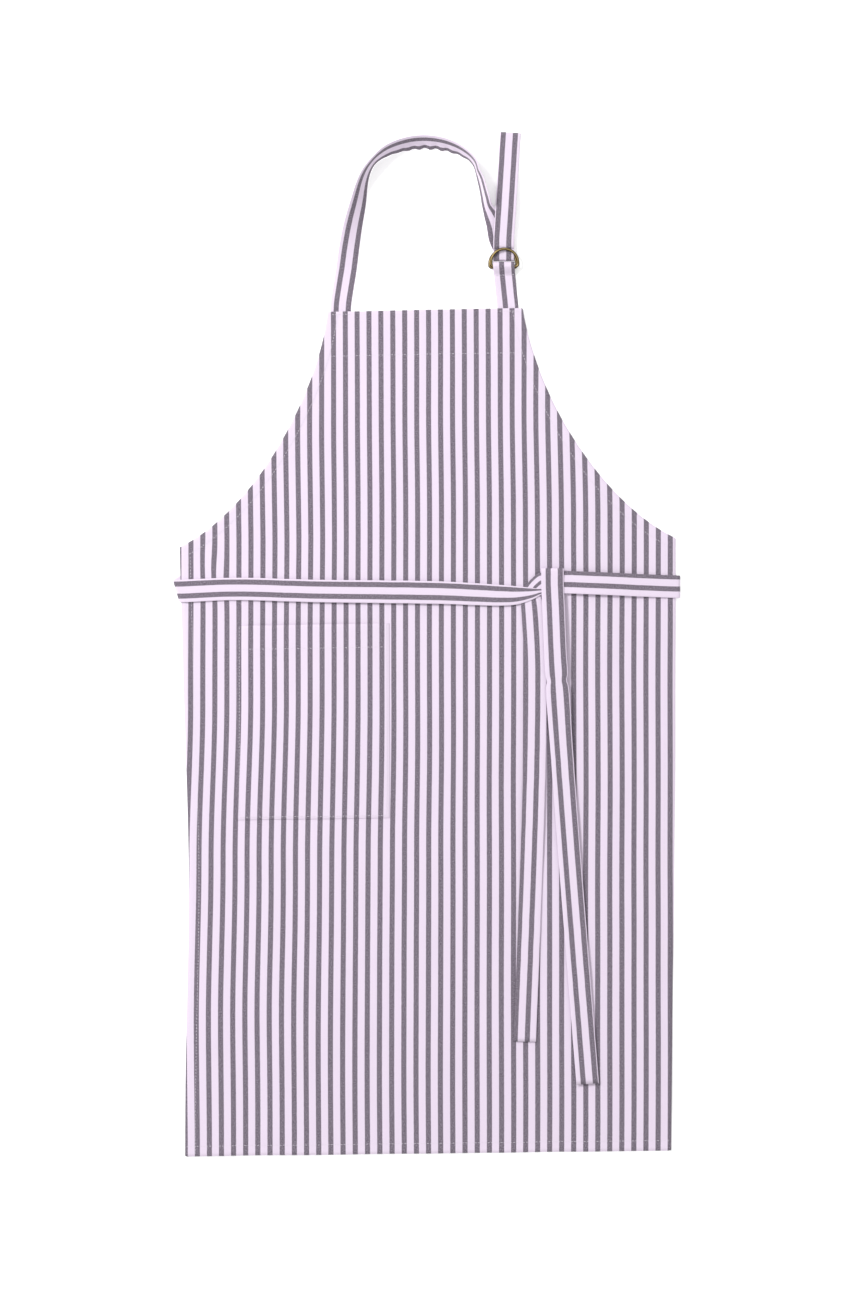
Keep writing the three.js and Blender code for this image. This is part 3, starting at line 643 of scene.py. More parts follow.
def aged_brass(colours):
    """Painted reflection mixed with real wear: a painted highlight of bright brass on top of the wire, the
    dark patina colour down its sides as a painted dark reflection, and noise blotches of wear.
    """
    paint = Paint("brass_with_painted_reflection")
    here = paint.put("ShaderNodeTexCoord", output=3)
    facing = paint.put("ShaderNodeNewGeometry", output=1)
    up = paint.put("ShaderNodeSeparateXYZ", {}, {0: facing}).also(2)
    blotch = paint.noise(here, 420.0, 4.0)
    scratch = paint.noise(here, 2600.0, 3.0)
    # Painted highlight and dark reflection: this mask follows which way the surface faces, with the blotch
    # noise as real wear.
    wear_and_painted_highlight = paint.clamp((up - 0.86) * 6.0 + (blotch - 0.5) * 1.2)
    colour = paint.mix(wear_and_painted_highlight, opaque(colours.patina_and_painted_reflection), opaque(colours.brass))
    roughness = 0.5 - wear_and_painted_highlight * 0.26 + scratch * 0.12
    return paint.finish(colour, roughness, scratch, 0.12, 0.0001, **{"Metallic": 1.0})


def table_finish(colours):
    paint = Paint("table")
    here = paint.put("ShaderNodeTexCoord", output=3)
    return paint.finish(
        opaque(colours), 0.9, paint.noise(here, 40.0), 0.02, 0.001,
        **{"Emission Color": (1.0, 1.0, 1.0, 1.0), "Emission Strength": 0.3})


FINISHES = {"striped_cotton": striped_cotton, "sewing_thread": sewing_thread, "aged_brass": aged_brass}
made_finishes = {}


def finish_of(slot):
    """The material of one of the record's slots, made when it is first asked for."""
    if slot not in made_finishes:
        made_finishes[slot] = FINISHES[slot](bpy.context.scene.apron_colours)
    return made_finishes[slot]


# ---- Stitches ------------------------------------------------------------------------------------
THREAD_HALF = 0.24    # half the thickness of the thread


def stitch_row(seam, paths, body="apron_body"):
    """Stitches along paths, which are lists of frame places, each a little proud of its cloth."""
    cut = bpy.context.scene.apron_cut
    pitch = cut.stitch + cut.stitch_gap
    mesh = bmesh.new()
    for path in paths:
        gone = 0.0
        due = pitch / 2
        for start, end in zip(path, path[1:]):
            reach = (end - start).length
            while reach and due <= gone + reach:
                middle = start.lerp(end, (due - gone) / reach)
                turn = (end - start).to_track_quat("X", "Z").to_matrix().to_4x4()
                size = Matrix.Diagonal((cut.stitch / 2, THREAD_HALF * MM, THREAD_HALF * 0.8 * MM, 1))
                lie = Matrix.Translation(middle) @ turn @ size
                bmesh.ops.create_uvsphere(mesh, u_segments=6, v_segments=4, radius=1, matrix=lie)
                due += pitch
            gone += reach
    piece = make_piece(f"{seam}_stitches", mesh, finish_of("sewing_thread"))
    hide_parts(f"{seam}_stitching")
    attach(piece, body)


# ---- Body and pocket -----------------------------------------------------------------------------
TIE_Y = SKIRT_LENGTH - 45
BODY_COLUMNS, SKIRT_ROWS, ARMHOLE_ROWS = 128, 178, 88


def side_drop(y):
    """Share of the side hems' drop: they lie closer to the face at the foot's hem and the sewn strap ends."""
    return mix(0.55, 1.0, smooth(y, 9, 30)) - 0.34 * swell(y, TIE_Y, 30) - 0.34 * smooth(y, 780, 825)


def armhole_share(row):
    return 1 - (row - SKIRT_ROWS) / ARMHOLE_ROWS


class APRON_OT_body(bpy.types.Operator):
    """Makes the body cloth with its four turned hems"""

    bl_idname = "apron.body"
    bl_label = "Body Cloth"

    def execute(self, context):
        cut = context.scene.apron_cut
        cloth = Cloth(BODY_COLUMNS, SKIRT_ROWS + ARMHOLE_ROWS)
        for vert, column, row in cloth.each():
            across = column / BODY_COLUMNS
            if row <= SKIRT_ROWS:
                y = SKIRT_LENGTH * row / SKIRT_ROWS
                x = mix(side_x(y, -1), side_x(y, 1), across)
            else:
                t = armhole_share(row)
                left, right = armhole(t, -1), armhole(t, 1)
                left.x += (side_x(SKIRT_LENGTH, -1) + WAIST_HALF) * t ** 6
                right.x += (side_x(SKIRT_LENGTH, 1) - WAIST_HALF) * t ** 6
                x, y = mix(left.x, right.x, across), left.y
            cloth.lie[vert] = (x, y, 0.0)
            cloth.flat[vert] = (stripe_x(x, y), y)

        def inset_side(vert, depth, drop):
            x, y = cloth.lie[vert][:2]
            column, row = cloth.grid[vert]
            side = -1 if column == 0 else 1
            corner_y = SKIRT_LENGTH - 0.627 * max(depth, 0)
            corner_x = side_x(SKIRT_LENGTH, side) - side * depth
            if row <= SKIRT_ROWS:
                inner = (x - side * depth, min(y, corner_y))
            else:
                t = armhole_share(row)
                way = armhole(t, side, 1) - armhole(t, side)
                inner = (x + way.x * depth, y + way.y * depth)
                if side * inner[0] > side * corner_x or inner[1] < corner_y:
                    inner = (corner_x, corner_y)
            return (*inner, -drop * side_drop(y))

        def inset_foot(vert, depth, drop):
            x, y = cloth.lie[vert][:2]
            reach = HEM_HALF - 2
            return (min(max(x, -reach), reach), y + depth, -drop)

        def inset_top(vert, depth, drop):
            x, y = cloth.lie[vert][:2]
            narrow = 1 - 0.012 * smooth(depth, 0, 3)
            return (BIB_OFFSET + (x - BIB_OFFSET) * narrow, y - depth, -drop)

        rim = cloth.rim()
        at_side = cloth.edges_along(rim, COLUMN, 0, cloth.columns)
        at_foot = cloth.edges_along(rim, ROW, 0)
        at_top = cloth.edges_along(rim, ROW, cloth.rows)
        cloth.turn_under(at_side, folded_hem(cut.side_hem / MM, 1.1), inset_side)
        cloth.turn_under(at_foot, folded_hem(cut.bottom_hem / MM, 1.12), inset_foot)
        cloth.turn_under(at_top, folded_hem(cut.bib_hem / MM, 0.42), inset_top)
        cloth.settle(laid)
        piece = make_piece("body_cloth", cloth.mesh, finish_of("striped_cotton"))
        thicken(piece, cut.cloth)
        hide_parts("body_panel")
        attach(piece, "apron_body")
        return {"FINISHED"}


POCKET_BOX = node_box("pocket")
POCKET_LEFT, POCKET_RIGHT = POCKET_BOX[0].x, POCKET_BOX[1].x
POCKET_FOOT, POCKET_TOP = POCKET_BOX[0].y, POCKET_BOX[1].y
POCKET_WIDTH = 157
POCKET_COLUMNS, POCKET_ROWS = 52, 66
POCKET_STITCH_INSET = 2.5
# Profile of the pocket's narrow turned edges: (depth, drop) steps.
POCKET_EDGE = ((-0.15, 0.08), (-0.15, 0.26), (0.3, 0.36), (8, 0.36))


def pocket_lift(x, y):
    """Height of the pocket's cloth over the body's: sewn down at three sides, a little slack at its mouth."""
    u = (x - POCKET_LEFT) / (POCKET_RIGHT - POCKET_LEFT)
    v = min(max((y - POCKET_FOOT) / (POCKET_TOP - POCKET_FOOT), 0), 1)
    slack = max(1 - (2 * u - 1) ** 4, 0) * (1 - (1 - v) ** 3)
    fold = 0.25 * swell((x + 60) * 0.95 - (y - 520) * 0.3, 0, 5) * swell(y, 520, 18)
    folds = 0.3 * grain(x, y * 0.5, 19, 9.3) + fold
    sink = 0.1 * swell(min(u, 1 - u) * POCKET_WIDTH - POCKET_STITCH_INSET, 0, 1.5)
    return 0.68 + slack * (1.9 + folds) - sink


class APRON_OT_pocket(bpy.types.Operator):
    """Makes the patch pocket, open along its top"""

    bl_idname = "apron.pocket"
    bl_label = "Patch Pocket"

    def execute(self, context):
        cut = context.scene.apron_cut
        cloth = Cloth(POCKET_COLUMNS, POCKET_ROWS)
        for vert, column, row in cloth.each():
            x = mix(POCKET_LEFT, POCKET_RIGHT, column / cloth.columns)
            y = mix(POCKET_FOOT, POCKET_TOP, row / cloth.rows)
            cloth.lie[vert] = (x, y, pocket_lift(x, y))
            cloth.flat[vert] = (stripe_x(x, y), y)

        def inset(vert, depth, drop):
            x, y, z = cloth.lie[vert]
            column, row = cloth.grid[vert]
            if row == 0 and column not in (0, cloth.columns):
                return (x, y + depth, z - drop)
            side = -1 if column == 0 else 1
            return (x - side * depth, y + (depth if row == 0 else 0), z - drop)

        def inset_mouth(vert, depth, drop):
            x, y = cloth.lie[vert][:2]
            narrow = 1 - 0.03 * smooth(depth, 0, 4)
            middle = (POCKET_LEFT + POCKET_RIGHT) / 2
            x = middle + (x - middle) * narrow
            return (x, y - depth, pocket_lift(x, y - max(depth, 0)) - drop)

        rim = cloth.rim()
        mouth = cloth.edges_along(rim, ROW, cloth.rows)
        cloth.turn_under([edge for edge in rim if edge not in mouth], POCKET_EDGE, inset)
        cloth.turn_under(mouth, folded_hem(cut.pocket_hem / MM, 0.4), inset_mouth)
        cloth.settle(laid)
        piece = make_piece("pocket_cloth", cloth.mesh, finish_of("striped_cotton"))
        thicken(piece, cut.cloth * 0.8)
        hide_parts("pocket")
        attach(piece, "apron_body")
        return {"FINISHED"}


# ---- Neck strap and rings ------------------------------------------------------------------------
RING_WIRE = 2.8
RING_RADIUS = 13.9
RING_LEG = 3.8
RING_CORNER = 2.2
RING_STEPS_PER_MM = 0.72    # points along the wire's arcs
RING_SIDES = 14
RING_BOX = node_box("upper_d_ring")
LOWER_RING_BOX = node_box("lower_d_ring")
RING_X = (RING_BOX[0].x + RING_BOX[1].x) / 2
BAR_Y = RING_BOX[0].y + RING_WIRE / 2
TURN_X = RING_X - 0.7
TURN_Y = BAR_Y + 6.3
ARC_Y = BAR_Y + RING_LEG + RING_RADIUS
TAIL_Y = BAR_Y + 26.6
TAIL_LENGTH = 112
STRAP_ROOT = node_box("neck_strap_root")
STRAP_X = (STRAP_ROOT[0].x + STRAP_ROOT[1].x) / 2
LOOP_RISE = 173
# Heights: a strap behind the bib or on the table, the rings' straight sides, and a strap over a ring.
BACK = 0.42
LOWER_LEVEL = 2.5
UPPER_LEVEL = 5.6
OVER_RING = 4.6
# The line over which the neck strap and the ring tab fold at the bib's top.
FOLD_START = place(0, PANEL_LENGTH + 0.5, BACK)
FOLD_END = place(0, PANEL_LENGTH + 5.5, BACK)
# Where each strap's dark stripe shows, on its face and on its back.
NECK_DARK = (6.0, 5.5)
TAB_DARK = (8.7, 8.7)
LEFT_TIE_DARK = (4.4, 7.2)
RIGHT_TIE_DARK = (9.2, 9.2)
# Neck loop: share of the way from the strap's root to the rings, share of its rise, lean in degrees and share
# of its width. It stands on its inner edge round the neck, and is pinched where it turns flat to pass under
# its loose end.
LOOP = (
    (0.014, 0.125, 0, 1), (0.034, 0.245, 4, 1), (0.05, 0.36, 12, 1), (0.07, 0.48, 24, 1),
    (0.107, 0.64, 42, 1), (0.148, 0.8, 66, 1), (0.2, 0.885, 77, 1), (0.28, 0.945, 68, 1),
    (0.39, 0.985, 59, 0.98), (0.507, 1.0, 56, 0.95), (0.64, 0.983, 62, 0.98), (0.75, 0.937, 73, 1),
    (0.815, 0.88, 79, 1), (0.853, 0.78, 74, 1), (0.882, 0.67, 66, 0.95), (0.896, 0.618, 46, 0.68),
    (0.92, 0.572, 14, 0.75), (0.95, 0.509, 2, 0.95), (0.967, 0.434, 0, 1), (0.985, 0.393, 0, 1),
)
# Up through the rings, over the lower one and under the upper one: distance up the apron, and height.
STRAP_TURN = (
    (TURN_Y + 9, BACK), (TURN_Y + 2.1, BACK), (TURN_Y + 0.6, 1.0), (TURN_Y, 2.5), (TURN_Y + 0.6, 4.0),
    (TURN_Y + 2.1, OVER_RING), (ARC_Y - 0.03, OVER_RING),
)
# Loose end: share of its length, and height.
TAIL = ((0.14, 5.4), (0.27, 6.6), (0.42, 5.6), (0.7, 1.3), (1.0, BACK))
TAIL_LEAN = math.radians(3.6)


def loop_station(across, up, lean, width):
    level = BACK + width / 2 * math.sin(math.radians(lean))
    return Station(mix(STRAP_X, RING_X, across), PANEL_LENGTH + LOOP_RISE * up, level, width, lean)


def loop_shape(t, share, room):
    """The strap rumples along its inner edge at the top of the loop."""
    ruffles = swell(t, 0.59, 0.075) * smooth(share, -0.3, 1.0) * 1.5 * math.sin(t * 215)
    crease = 1.1 * swell(t, 0.735, 0.012) * smooth(share, 0.9, -0.2)
    return ruffles + crease + 0.25 * swell(t, 0.78, 0.05) * math.cos(share * 5)


class APRON_OT_neck_strap(bpy.types.Operator):
    """Makes the neck strap: sewn behind the bib, round the neck, through the rings and out as a loose end"""

    bl_idname = "apron.neck_strap"
    bl_label = "Neck Strap"

    def execute(self, context):
        cut = context.scene.apron_cut
        width, thickness = cut.strap_width / MM, cut.strap_thickness / MM
        loop = [
            Station(STRAP_X, PANEL_LENGTH - STRAP_SEWN, BACK), Station(STRAP_X, PANEL_LENGTH - 8, BACK),
            Station(STRAP_X + 0.3, PANEL_LENGTH + 7, BACK),
            *(loop_station(across, up, lean, width * share) for across, up, lean, share in LOOP),
            *(Station(TURN_X, y, level, across=LEFT) for y, level in STRAP_TURN),
        ]
        piece, run = strap("neck_strap", loop, width, thickness, NECK_DARK, loop_shape, 3.0)
        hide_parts("neck_strap_root", "neck_strap_loop", "neck_strap_turn")
        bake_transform(piece)
        declare_strap(width, run)

        tail = stations_at(((TURN_X, ARC_Y + 0.03, OVER_RING), (TURN_X, TAIL_Y, OVER_RING)), across=LEFT)
        across = Vector((-math.cos(TAIL_LEAN), math.sin(TAIL_LEAN), 0))
        for share, level in TAIL:
            gone = share * TAIL_LENGTH
            x, y = TURN_X + gone * math.sin(TAIL_LEAN), TAIL_Y + gone * math.cos(TAIL_LEAN)
            tail.append(Station(x, y, level, across=across))
        piece, run = strap("neck_strap_end", tail, width, thickness, NECK_DARK)
        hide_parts("neck_strap_tail")
        swing_start, swing_end = place(TURN_X, ARC_Y + 2.5, OVER_RING), place(TURN_X, TAIL_Y + 7, OVER_RING)
        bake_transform(piece)
        declare_strap(width, run)
        return {"FINISHED"}


TAB_ROOT_X = RING_X + 4
TAB_STITCH_Y = BAR_Y - 8.5


def tab_x(y):
    """The tab's middle, which slants a little from its sewn end to the rings."""
    return mix(TAB_ROOT_X, TURN_X, min(max((y - PANEL_LENGTH) / (BAR_Y - PANEL_LENGTH), 0), 1))


class APRON_OT_ring_tab(bpy.types.Operator):
    """Makes the tab that holds both rings by their straight sides"""

    bl_idname = "apron.ring_tab"
    bl_label = "Ring Tab"

    def execute(self, context):
        cut = context.scene.apron_cut
        width, thickness = cut.tab_width / MM, cut.strap_thickness / MM
        over = UPPER_LEVEL + RING_WIRE / 2 + thickness / 2 + 0.2
        fold_y = BAR_Y + RING_WIRE / 2 + 3
        heights = (
            (PANEL_LENGTH - STRAP_SEWN, BACK), (PANEL_LENGTH - 8, BACK), (PANEL_LENGTH + 6, BACK),
            (TAB_STITCH_Y - 14, BACK + 0.05), (TAB_STITCH_Y - 4, 1.45), (TAB_STITCH_Y + 0.5, 1.75),
            (BAR_Y - 3.2, over - 1.8), (BAR_Y, over), (fold_y - 1.2, over - 1.0), (fold_y, (over + BACK) / 2),
            (fold_y - 1.2, BACK + 0.9), (BAR_Y, BACK + 0.15), (TAB_STITCH_Y, BACK), (TAB_STITCH_Y - 5, BACK),
        )
        stations = [Station(tab_x(y), y, level, across=RIGHT) for y, level in heights]
        piece, run = strap("ring_tab_strap", stations, width, thickness, TAB_DARK, step=2.5)
        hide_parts("ring_tab", "ring_tab_root")
        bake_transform(piece)
        declare_strap(width, run)
        return {"FINISHED"}


def ring_path():
    """Points of the wire's middle, counter-clockwise from the left of the straight side."""
    corner = RING_RADIUS - RING_CORNER
    quarter = math.pi / 2
    left, right = Vector((-corner, 0)), Vector((corner, 0))
    points = [left.lerp(right, i / 8) for i in range(9)]
    arcs = (
        (Vector((corner, RING_CORNER)), RING_CORNER, -quarter, 0),
        (Vector((0, RING_LEG)), RING_RADIUS, 0, math.pi),
        (Vector((-corner, RING_CORNER)), RING_CORNER, math.pi, math.pi + quarter),
    )
    for centre, radius, start, end in arcs:
        count = max(6, round(RING_STEPS_PER_MM * radius * (end - start)))
        for i in range(1 if centre.x > 0 else 0, count + 1):
            turn = mix(start, end, i / count)
            points.append(centre + radius * Vector((math.cos(turn), math.sin(turn))))
    return points[:-1]


def brass_ring(name, node, x, y, level, tilt, body):
    """A D-ring whose straight side's middle is at (x, y, level), tipped about that side by the tilt."""
    path = ring_path()
    mesh = bmesh.new()
    bmesh.ops.create_grid(mesh, x_segments=RING_SIDES, y_segments=len(path), size=0.5)
    lean = Matrix.Rotation(tilt, 3, "X")
    for vert in mesh.verts:
        turn = math.tau * round((vert.co.x + 0.5) * RING_SIDES) / RING_SIDES
        i = round((vert.co.y + 0.5) * len(path)) % len(path)
        way = (path[(i + 1) % len(path)] - path[i - 1]).normalized()
        out = Vector((way.y, -way.x, 0))
        here = path[i].to_3d() + (out * math.cos(turn) + UP * math.sin(turn)) * RING_WIRE / 2
        here = lean @ here
        vert.co = place(x + here.x, y + here.y, level + here.z)
    bmesh.ops.remove_doubles(mesh, verts=mesh.verts, dist=1e-6)
    bmesh.ops.recalc_face_normals(mesh, faces=mesh.faces)
    piece = make_piece(name, mesh, finish_of("aged_brass"))
    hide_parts(node)
    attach(piece, body)


class APRON_OT_rings(bpy.types.Operator):
    """Makes the two brass D-rings"""

    bl_idname = "apron.rings"
    bl_label = "D-Rings"

    def execute(self, context):
        reach = RING_BOX[1].z - RING_BOX[0].z - RING_WIRE
        tilt = math.asin(reach / (RING_LEG + RING_RADIUS))
        lower_x = (LOWER_RING_BOX[0].x + LOWER_RING_BOX[1].x) / 2
        lower_y = LOWER_RING_BOX[0].y + RING_WIRE / 2
        brass_ring("lower_brass_ring", "lower_d_ring", lower_x, lower_y, LOWER_LEVEL, 0.0, "neck_loop")
        brass_ring("upper_brass_ring", "upper_d_ring", RING_X, BAR_Y, UPPER_LEVEL, tilt, "upper_ring")
        return {"FINISHED"}


# ---- Waist ties ----------------------------------------------------------------------------------
KNOT_BOX = node_box("left_tie_turn")
KNOT_X = KNOT_BOX[1].x - 12.6
KNOT_Y = TIE_Y + 5.5
HALF_TIE = 11.6
# Heights of the ties: on the body's face, and over one, two and three layers of tie in the knot.
ON_FACE = 3.2
LAYER = 1.1
FIRST, SECOND, THIRD = ON_FACE + LAYER, ON_FACE + 2 * LAYER, ON_FACE + 3 * LAYER
FOLD_ROOM = 5.5    # how far a tie's crease stands out from the body's side
# The crease at the body's side: distance along the tie, and height.
ROOT = (
    (-42, BACK), (-21, BACK), (-6, BACK), (-1.4, BACK + 0.2), (0, 1.8), (1.4, ON_FACE - 0.2), (5.5, ON_FACE),
)
# Loose ends: share of the way down, height over where they come to rest, and width where it isn't the tie's
# own. The left one has a small crease, where it is drawn a little narrower.
LEFT_END = (
    (0.0, 2.2, None), (0.1, 2.8, None), (0.147, 2.5, None), (0.158, 2.3, 20.4), (0.169, 2.3, None),
    (0.3, 1.0, None), (0.5, 0.2, None), (0.75, 0.0, None), (1.0, 0.0, None),
)
RIGHT_END = (
    (0.0, 0.0, None), (0.1, 0.7, None), (0.3, 1.2, None), (0.5, 0.6, None), (0.75, 0.1, None),
    (1.0, 0.0, None),
)


def folded_root(crease, heading, angle):
    """Sewn end of a tie behind the body, out past its side and round to the front on a crease."""
    fold = Matrix.Rotation(-math.radians(angle), 3, "Z") @ heading
    inwards = UP.cross(fold)
    slide, reach = math.cos(math.radians(angle)), math.sin(math.radians(angle))
    stations = []
    for gone, level in ROOT:
        point = crease + fold * (gone * slide) + inwards * (abs(gone) * reach)
        stations.append(Station(point.x, point.y, level, across=fold / reach))
    return stations


def hanging_end(top, lean_degrees, reach, level, across_sign, bow, shares):
    """A tie's loose end down the skirt, leaning and a little bowed to one side."""
    lean = math.radians(lean_degrees)
    across = Vector((math.cos(lean), math.sin(lean), 0)) * across_sign
    stations = []
    for share, rise, width in shares:
        x = top[0] + reach * share * math.sin(lean) + bow * math.sin(math.pi * share ** 0.6)
        y = top[1] - reach * share * math.cos(lean)
        stations.append(Station(x, y, level + rise, width, across=across))
    return stations


def pleats(t, share, room):
    """Gathers where the tie is drawn narrow."""
    return 0.28 * (1 - min(room, 1)) * math.cos(share * 8)


def left_pleats(t, share, room):
    """The left tie also has one small crease across its loose end."""
    return pleats(t, share, room) + 0.7 * swell(t, 0.577, 0.004) * smooth(share, 0.1, 1)


class APRON_OT_ties(bpy.types.Operator):
    """Makes the two waist ties, brought round to the front and tied in a half knot"""

    bl_idname = "apron.ties"
    bl_label = "Waist Ties"

    def execute(self, context):
        cut = context.scene.apron_cut
        width, thickness = cut.tie_width / MM, cut.strap_thickness / MM * 0.9
        left_crease = Vector((-WAIST_HALF + 0.3 - FOLD_ROOM, TIE_Y - 3.5, 0))
        dip = KNOT_Y - 12
        neck_x = KNOT_X - HALF_TIE
        top_edge = KNOT_Y + HALF_TIE + 1.5
        left = folded_root(left_crease, RIGHT, 74)
        left += stations_at((
            (-200, TIE_Y - 1.4, ON_FACE + 0.5), (-118, TIE_Y - 3.4, ON_FACE + 1.5),
            (16, dip + 1.2, ON_FACE + 1.6), (74, dip - 1.4, ON_FACE + 0.9, 21.5),
            (91, dip - 1.4, ON_FACE + 0.95, 19), (106.6, dip + 0.3, FIRST, 12.5),
            (neck_x, dip + 2.4, FIRST, 6.5), (KNOT_X - 6, KNOT_Y - 9, FIRST, 7),
        ))
        left += stations_at((
            (KNOT_X - 1, KNOT_Y - 4, FIRST, 9), (KNOT_X, KNOT_Y + 4, FIRST, 15),
            (KNOT_X, top_edge - 0.5, FIRST, 22), (KNOT_X, top_edge + 0.9, SECOND, 23),
            (KNOT_X, top_edge - 0.5, THIRD), (KNOT_X, KNOT_Y, THIRD),
            (KNOT_X + 0.5, KNOT_Y - HALF_TIE - 1.5, ON_FACE + 2.8 * LAYER),
        ), across=RIGHT)
        left += hanging_end((KNOT_X + 1, KNOT_Y - HALF_TIE - 12), 4.1, 494, FIRST, 1, -2.2, LEFT_END)
        piece, run = strap("left_tie", left, width, thickness, LEFT_TIE_DARK, left_pleats)
        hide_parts("left_tie_root", "left_tie_run", "left_tie_turn", "left_tie_tail")
        pivot = place(KNOT_X + 1, KNOT_Y - 23.7, FIRST)
        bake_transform(piece)
        declare_strap(width, run)

        right_crease = Vector((WAIST_HALF - 0.3 + FOLD_ROOM, TIE_Y + 1, 0))
        tail_x = KNOT_X - 24
        right = folded_root(right_crease, LEFT, 90)
        right += stations_at((
            (222, TIE_Y + 2.2, ON_FACE + 1.3), (190, TIE_Y + 3.7, ON_FACE + 2.9),
            (KNOT_X + 30, KNOT_Y - 0.5, ON_FACE + 3), (KNOT_X + 15.6, KNOT_Y, SECOND),
            (KNOT_X, KNOT_Y + 0.4, SECOND, 22), (KNOT_X - 11.6, KNOT_Y + 1.8, ON_FACE + 1.85 * LAYER, 16),
            (KNOT_X - 15.5, KNOT_Y - 0.8, ON_FACE + 1.2 * LAYER, 14.5),
            (KNOT_X - 19.5, KNOT_Y - 5, ON_FACE + 0.2, 14.5), (KNOT_X - 22, KNOT_Y - 10, ON_FACE - 0.1, 16),
            (tail_x + 2.5, KNOT_Y - 17, ON_FACE - 0.1, 20.5), (tail_x + 3.2, KNOT_Y - 24, ON_FACE, 22.6),
        ))
        right += hanging_end((tail_x + 4, KNOT_Y - 34), -1.1, 439, ON_FACE, -1, 4.5, RIGHT_END)
        piece, run = strap("right_tie", right, width, thickness, RIGHT_TIE_DARK, pleats)
        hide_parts("right_tie_root", "right_tie_run", "right_tie_turn", "right_tie_tail")
        pivot = place(tail_x, KNOT_Y - 30.5, ON_FACE)
        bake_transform(piece)
        declare_strap(width, run)
        return {"FINISHED"}


# ---- Stitching -----------------------------------------------------------------------------------
ON_CLOTH = 0.26    # height of the thread over its cloth
BAR_HALF = 9.5    # half the length of the row that sews a strap's end to the bib
SIDES = ((-1, "left"), (1, "right"))


def on_body(points):
    return [laid(x, y, ON_CLOTH) for x, y in points]


def on_pocket(points):
    return [laid(x, y, pocket_lift(x, y) + ON_CLOTH) for x, y in points]


def between(start, end, count=40):
    return [(mix(start[0], end[0], i / count), mix(start[1], end[1], i / count)) for i in range(count + 1)]


class APRON_OT_stitching(bpy.types.Operator):
    """Sews the hems, the pocket and the ends of the straps"""

    bl_idname = "apron.stitching"
    bl_label = "Stitching"

    def execute(self, context):
        left, right = BIB_OFFSET - BIB_HALF + 1.5, BIB_OFFSET + BIB_HALF - 1.5
        y = PANEL_LENGTH - BIB_ROW
        stitch_row("bib_hem", [on_body(between((left, y), (right, y)))])
        reach = HEM_HALF - 1
        stitch_row("bottom_hem", [on_body(between((-reach, HEM_ROW), (reach, HEM_ROW), 120))])
        for side, word in SIDES:
            heights = [mix(1.5, SKIRT_LENGTH - 9, i / 120) for i in range(121)]
            stitch_row(f"{word}_side", [on_body([(side_x(y, side) - side * HEM_ROW, y) for y in heights])])
            shares = [mix(0.004, 0.985, i / 90) for i in range(91)]
            stitch_row(f"{word}_armhole", [on_body([armhole(t, side, HEM_ROW) for t in shares])])

        left, right = POCKET_LEFT + POCKET_STITCH_INSET, POCKET_RIGHT - POCKET_STITCH_INSET
        low, high = POCKET_FOOT + POCKET_STITCH_INSET, POCKET_TOP - 0.8
        corners = ((left, high), (left, low), (right, low), (right, high))
        stitch_row("pocket_edge", [on_pocket(between(*ends)) for ends in zip(corners, corners[1:])])
        y = POCKET_TOP - 24
        stitch_row("pocket_hem", [on_pocket(between((left + 3, y), (right - 3, y)))])

        y = PANEL_LENGTH - 2.5
        for seam, x in (("neck_strap", STRAP_X), ("ring_tab_root", TAB_ROOT_X)):
            stitch_row(seam, [on_body(between((x - BAR_HALF, y), (x + BAR_HALF, y), 8))])
        y = TAB_STITCH_Y - 0.6
        x = tab_x(y)
        row = [place(mix(x - 9.3, x + 9.3, i / 8), y + 0.12 * i, 1.72 + 0.62) for i in range(9)]
        stitch_row("ring_tab", [row], "neck_loop")
        for side, word in SIDES:
            x = side_x(TIE_Y, side) - side * 3
            stitch_row(f"{word}_tie", [on_body(between((x, TIE_Y - 9), (x, TIE_Y + 11), 8))])
        return {"FINISHED"}


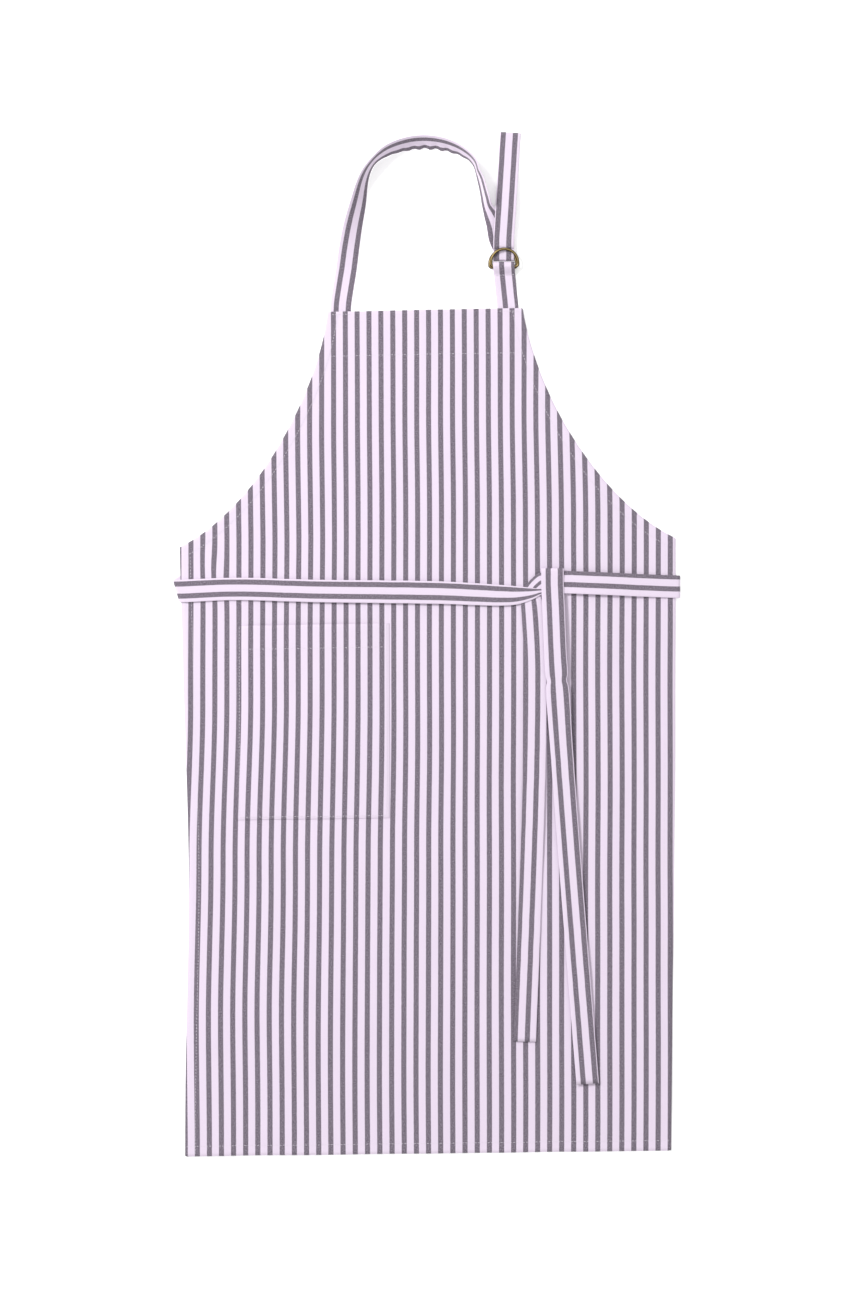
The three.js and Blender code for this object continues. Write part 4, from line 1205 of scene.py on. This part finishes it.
# ---- Stage ---------------------------------------------------------------------------------------
class APRON_OT_stage(bpy.types.Operator):
    """Makes the pale table, the soft light and the camera that looks straight down"""

    bl_idname = "apron.stage"
    bl_label = "Stage"

    def execute(self, context):
        studio = context.scene.apron_studio
        mesh = bmesh.new()
        bmesh.ops.create_grid(mesh, x_segments=1, y_segments=1, size=6)
        bmesh.ops.translate(mesh, vec=(0, 0, CAD_BOX[0][2] - 0.0001), verts=mesh.verts)
        table = make_piece("table", mesh, table_finish(studio.table))

        world = bpy.data.worlds.new("soft_white")
        world.use_nodes = True
        background = world.node_tree.nodes["Background"]
        background.inputs["Color"].default_value = (1, 1, 1, 1)
        background.inputs["Strength"].default_value = studio.sky
        context.scene.world = world

        lamp = bpy.data.lights.new("soft_box", "AREA")
        lamp.energy = studio.key
        lamp.shape = "RECTANGLE"
        lamp.size, lamp.size_y = 1.1, 0.8
        lamp_object = bpy.data.objects.new("soft_box", lamp)
        lamp_object.location = (-2.2, 1.8, 2.7)
        lamp_object.rotation_euler = (-lamp_object.location).to_track_quat("-Z", "Y").to_euler()
        context.scene.collection.objects.link(lamp_object)

        camera = bpy.data.cameras.new("camera")
        camera.lens = studio.lens
        camera.sensor_width = 36
        distance = studio.view_height * studio.lens / camera.sensor_width
        camera_object = bpy.data.objects.new("camera", camera)
        camera_object.location = (0.0011, -0.0015, distance + 0.002)
        context.scene.collection.objects.link(camera_object)
        context.scene.camera = camera_object
        context.scene.view_settings.view_transform = "Standard"
        return {"FINISHED"}


class APRON_PT_pieces(bpy.types.Panel):
    """Lists the apron's pieces and settings"""

    bl_idname = "APRON_PT_pieces"
    bl_label = "Striped Apron"
    bl_space_type = "VIEW_3D"
    bl_region_type = "UI"
    bl_category = "Apron"

    def draw(self, context):
        for operator in OPERATORS:
            self.layout.operator(operator.bl_idname)
        for group in (context.scene.apron_cut, context.scene.apron_colours, context.scene.apron_studio):
            box = self.layout.box()
            for name in type(group).__annotations__:
                box.prop(group, name)


GROUPS = {"apron_cut": ApronCut, "apron_colours": ApronColours, "apron_studio": ApronStudio}
OPERATORS = (
    APRON_OT_stage, APRON_OT_body, APRON_OT_pocket, APRON_OT_neck_strap, APRON_OT_ring_tab, APRON_OT_rings,
    APRON_OT_ties, APRON_OT_stitching,
)


def register():
    for cls in (*GROUPS.values(), *OPERATORS, APRON_PT_pieces):
        bpy.utils.register_class(cls)
    for name, group in GROUPS.items():
        setattr(bpy.types.Scene, name, bpy.props.PointerProperty(type=group))


def unregister():
    for name in GROUPS:
        delattr(bpy.types.Scene, name)
    for cls in (APRON_PT_pieces, *reversed(OPERATORS), *reversed(GROUPS.values())):
        bpy.utils.unregister_class(cls)


def main():
    register()
    bpy.ops.apron.stage()
    bpy.ops.apron.body()
    bpy.ops.apron.pocket()
    bpy.ops.apron.neck_strap()
    bpy.ops.apron.ring_tab()
    bpy.ops.apron.rings()
    bpy.ops.apron.ties()
    bpy.ops.apron.stitching()


if __name__ == "__main__":
    main()
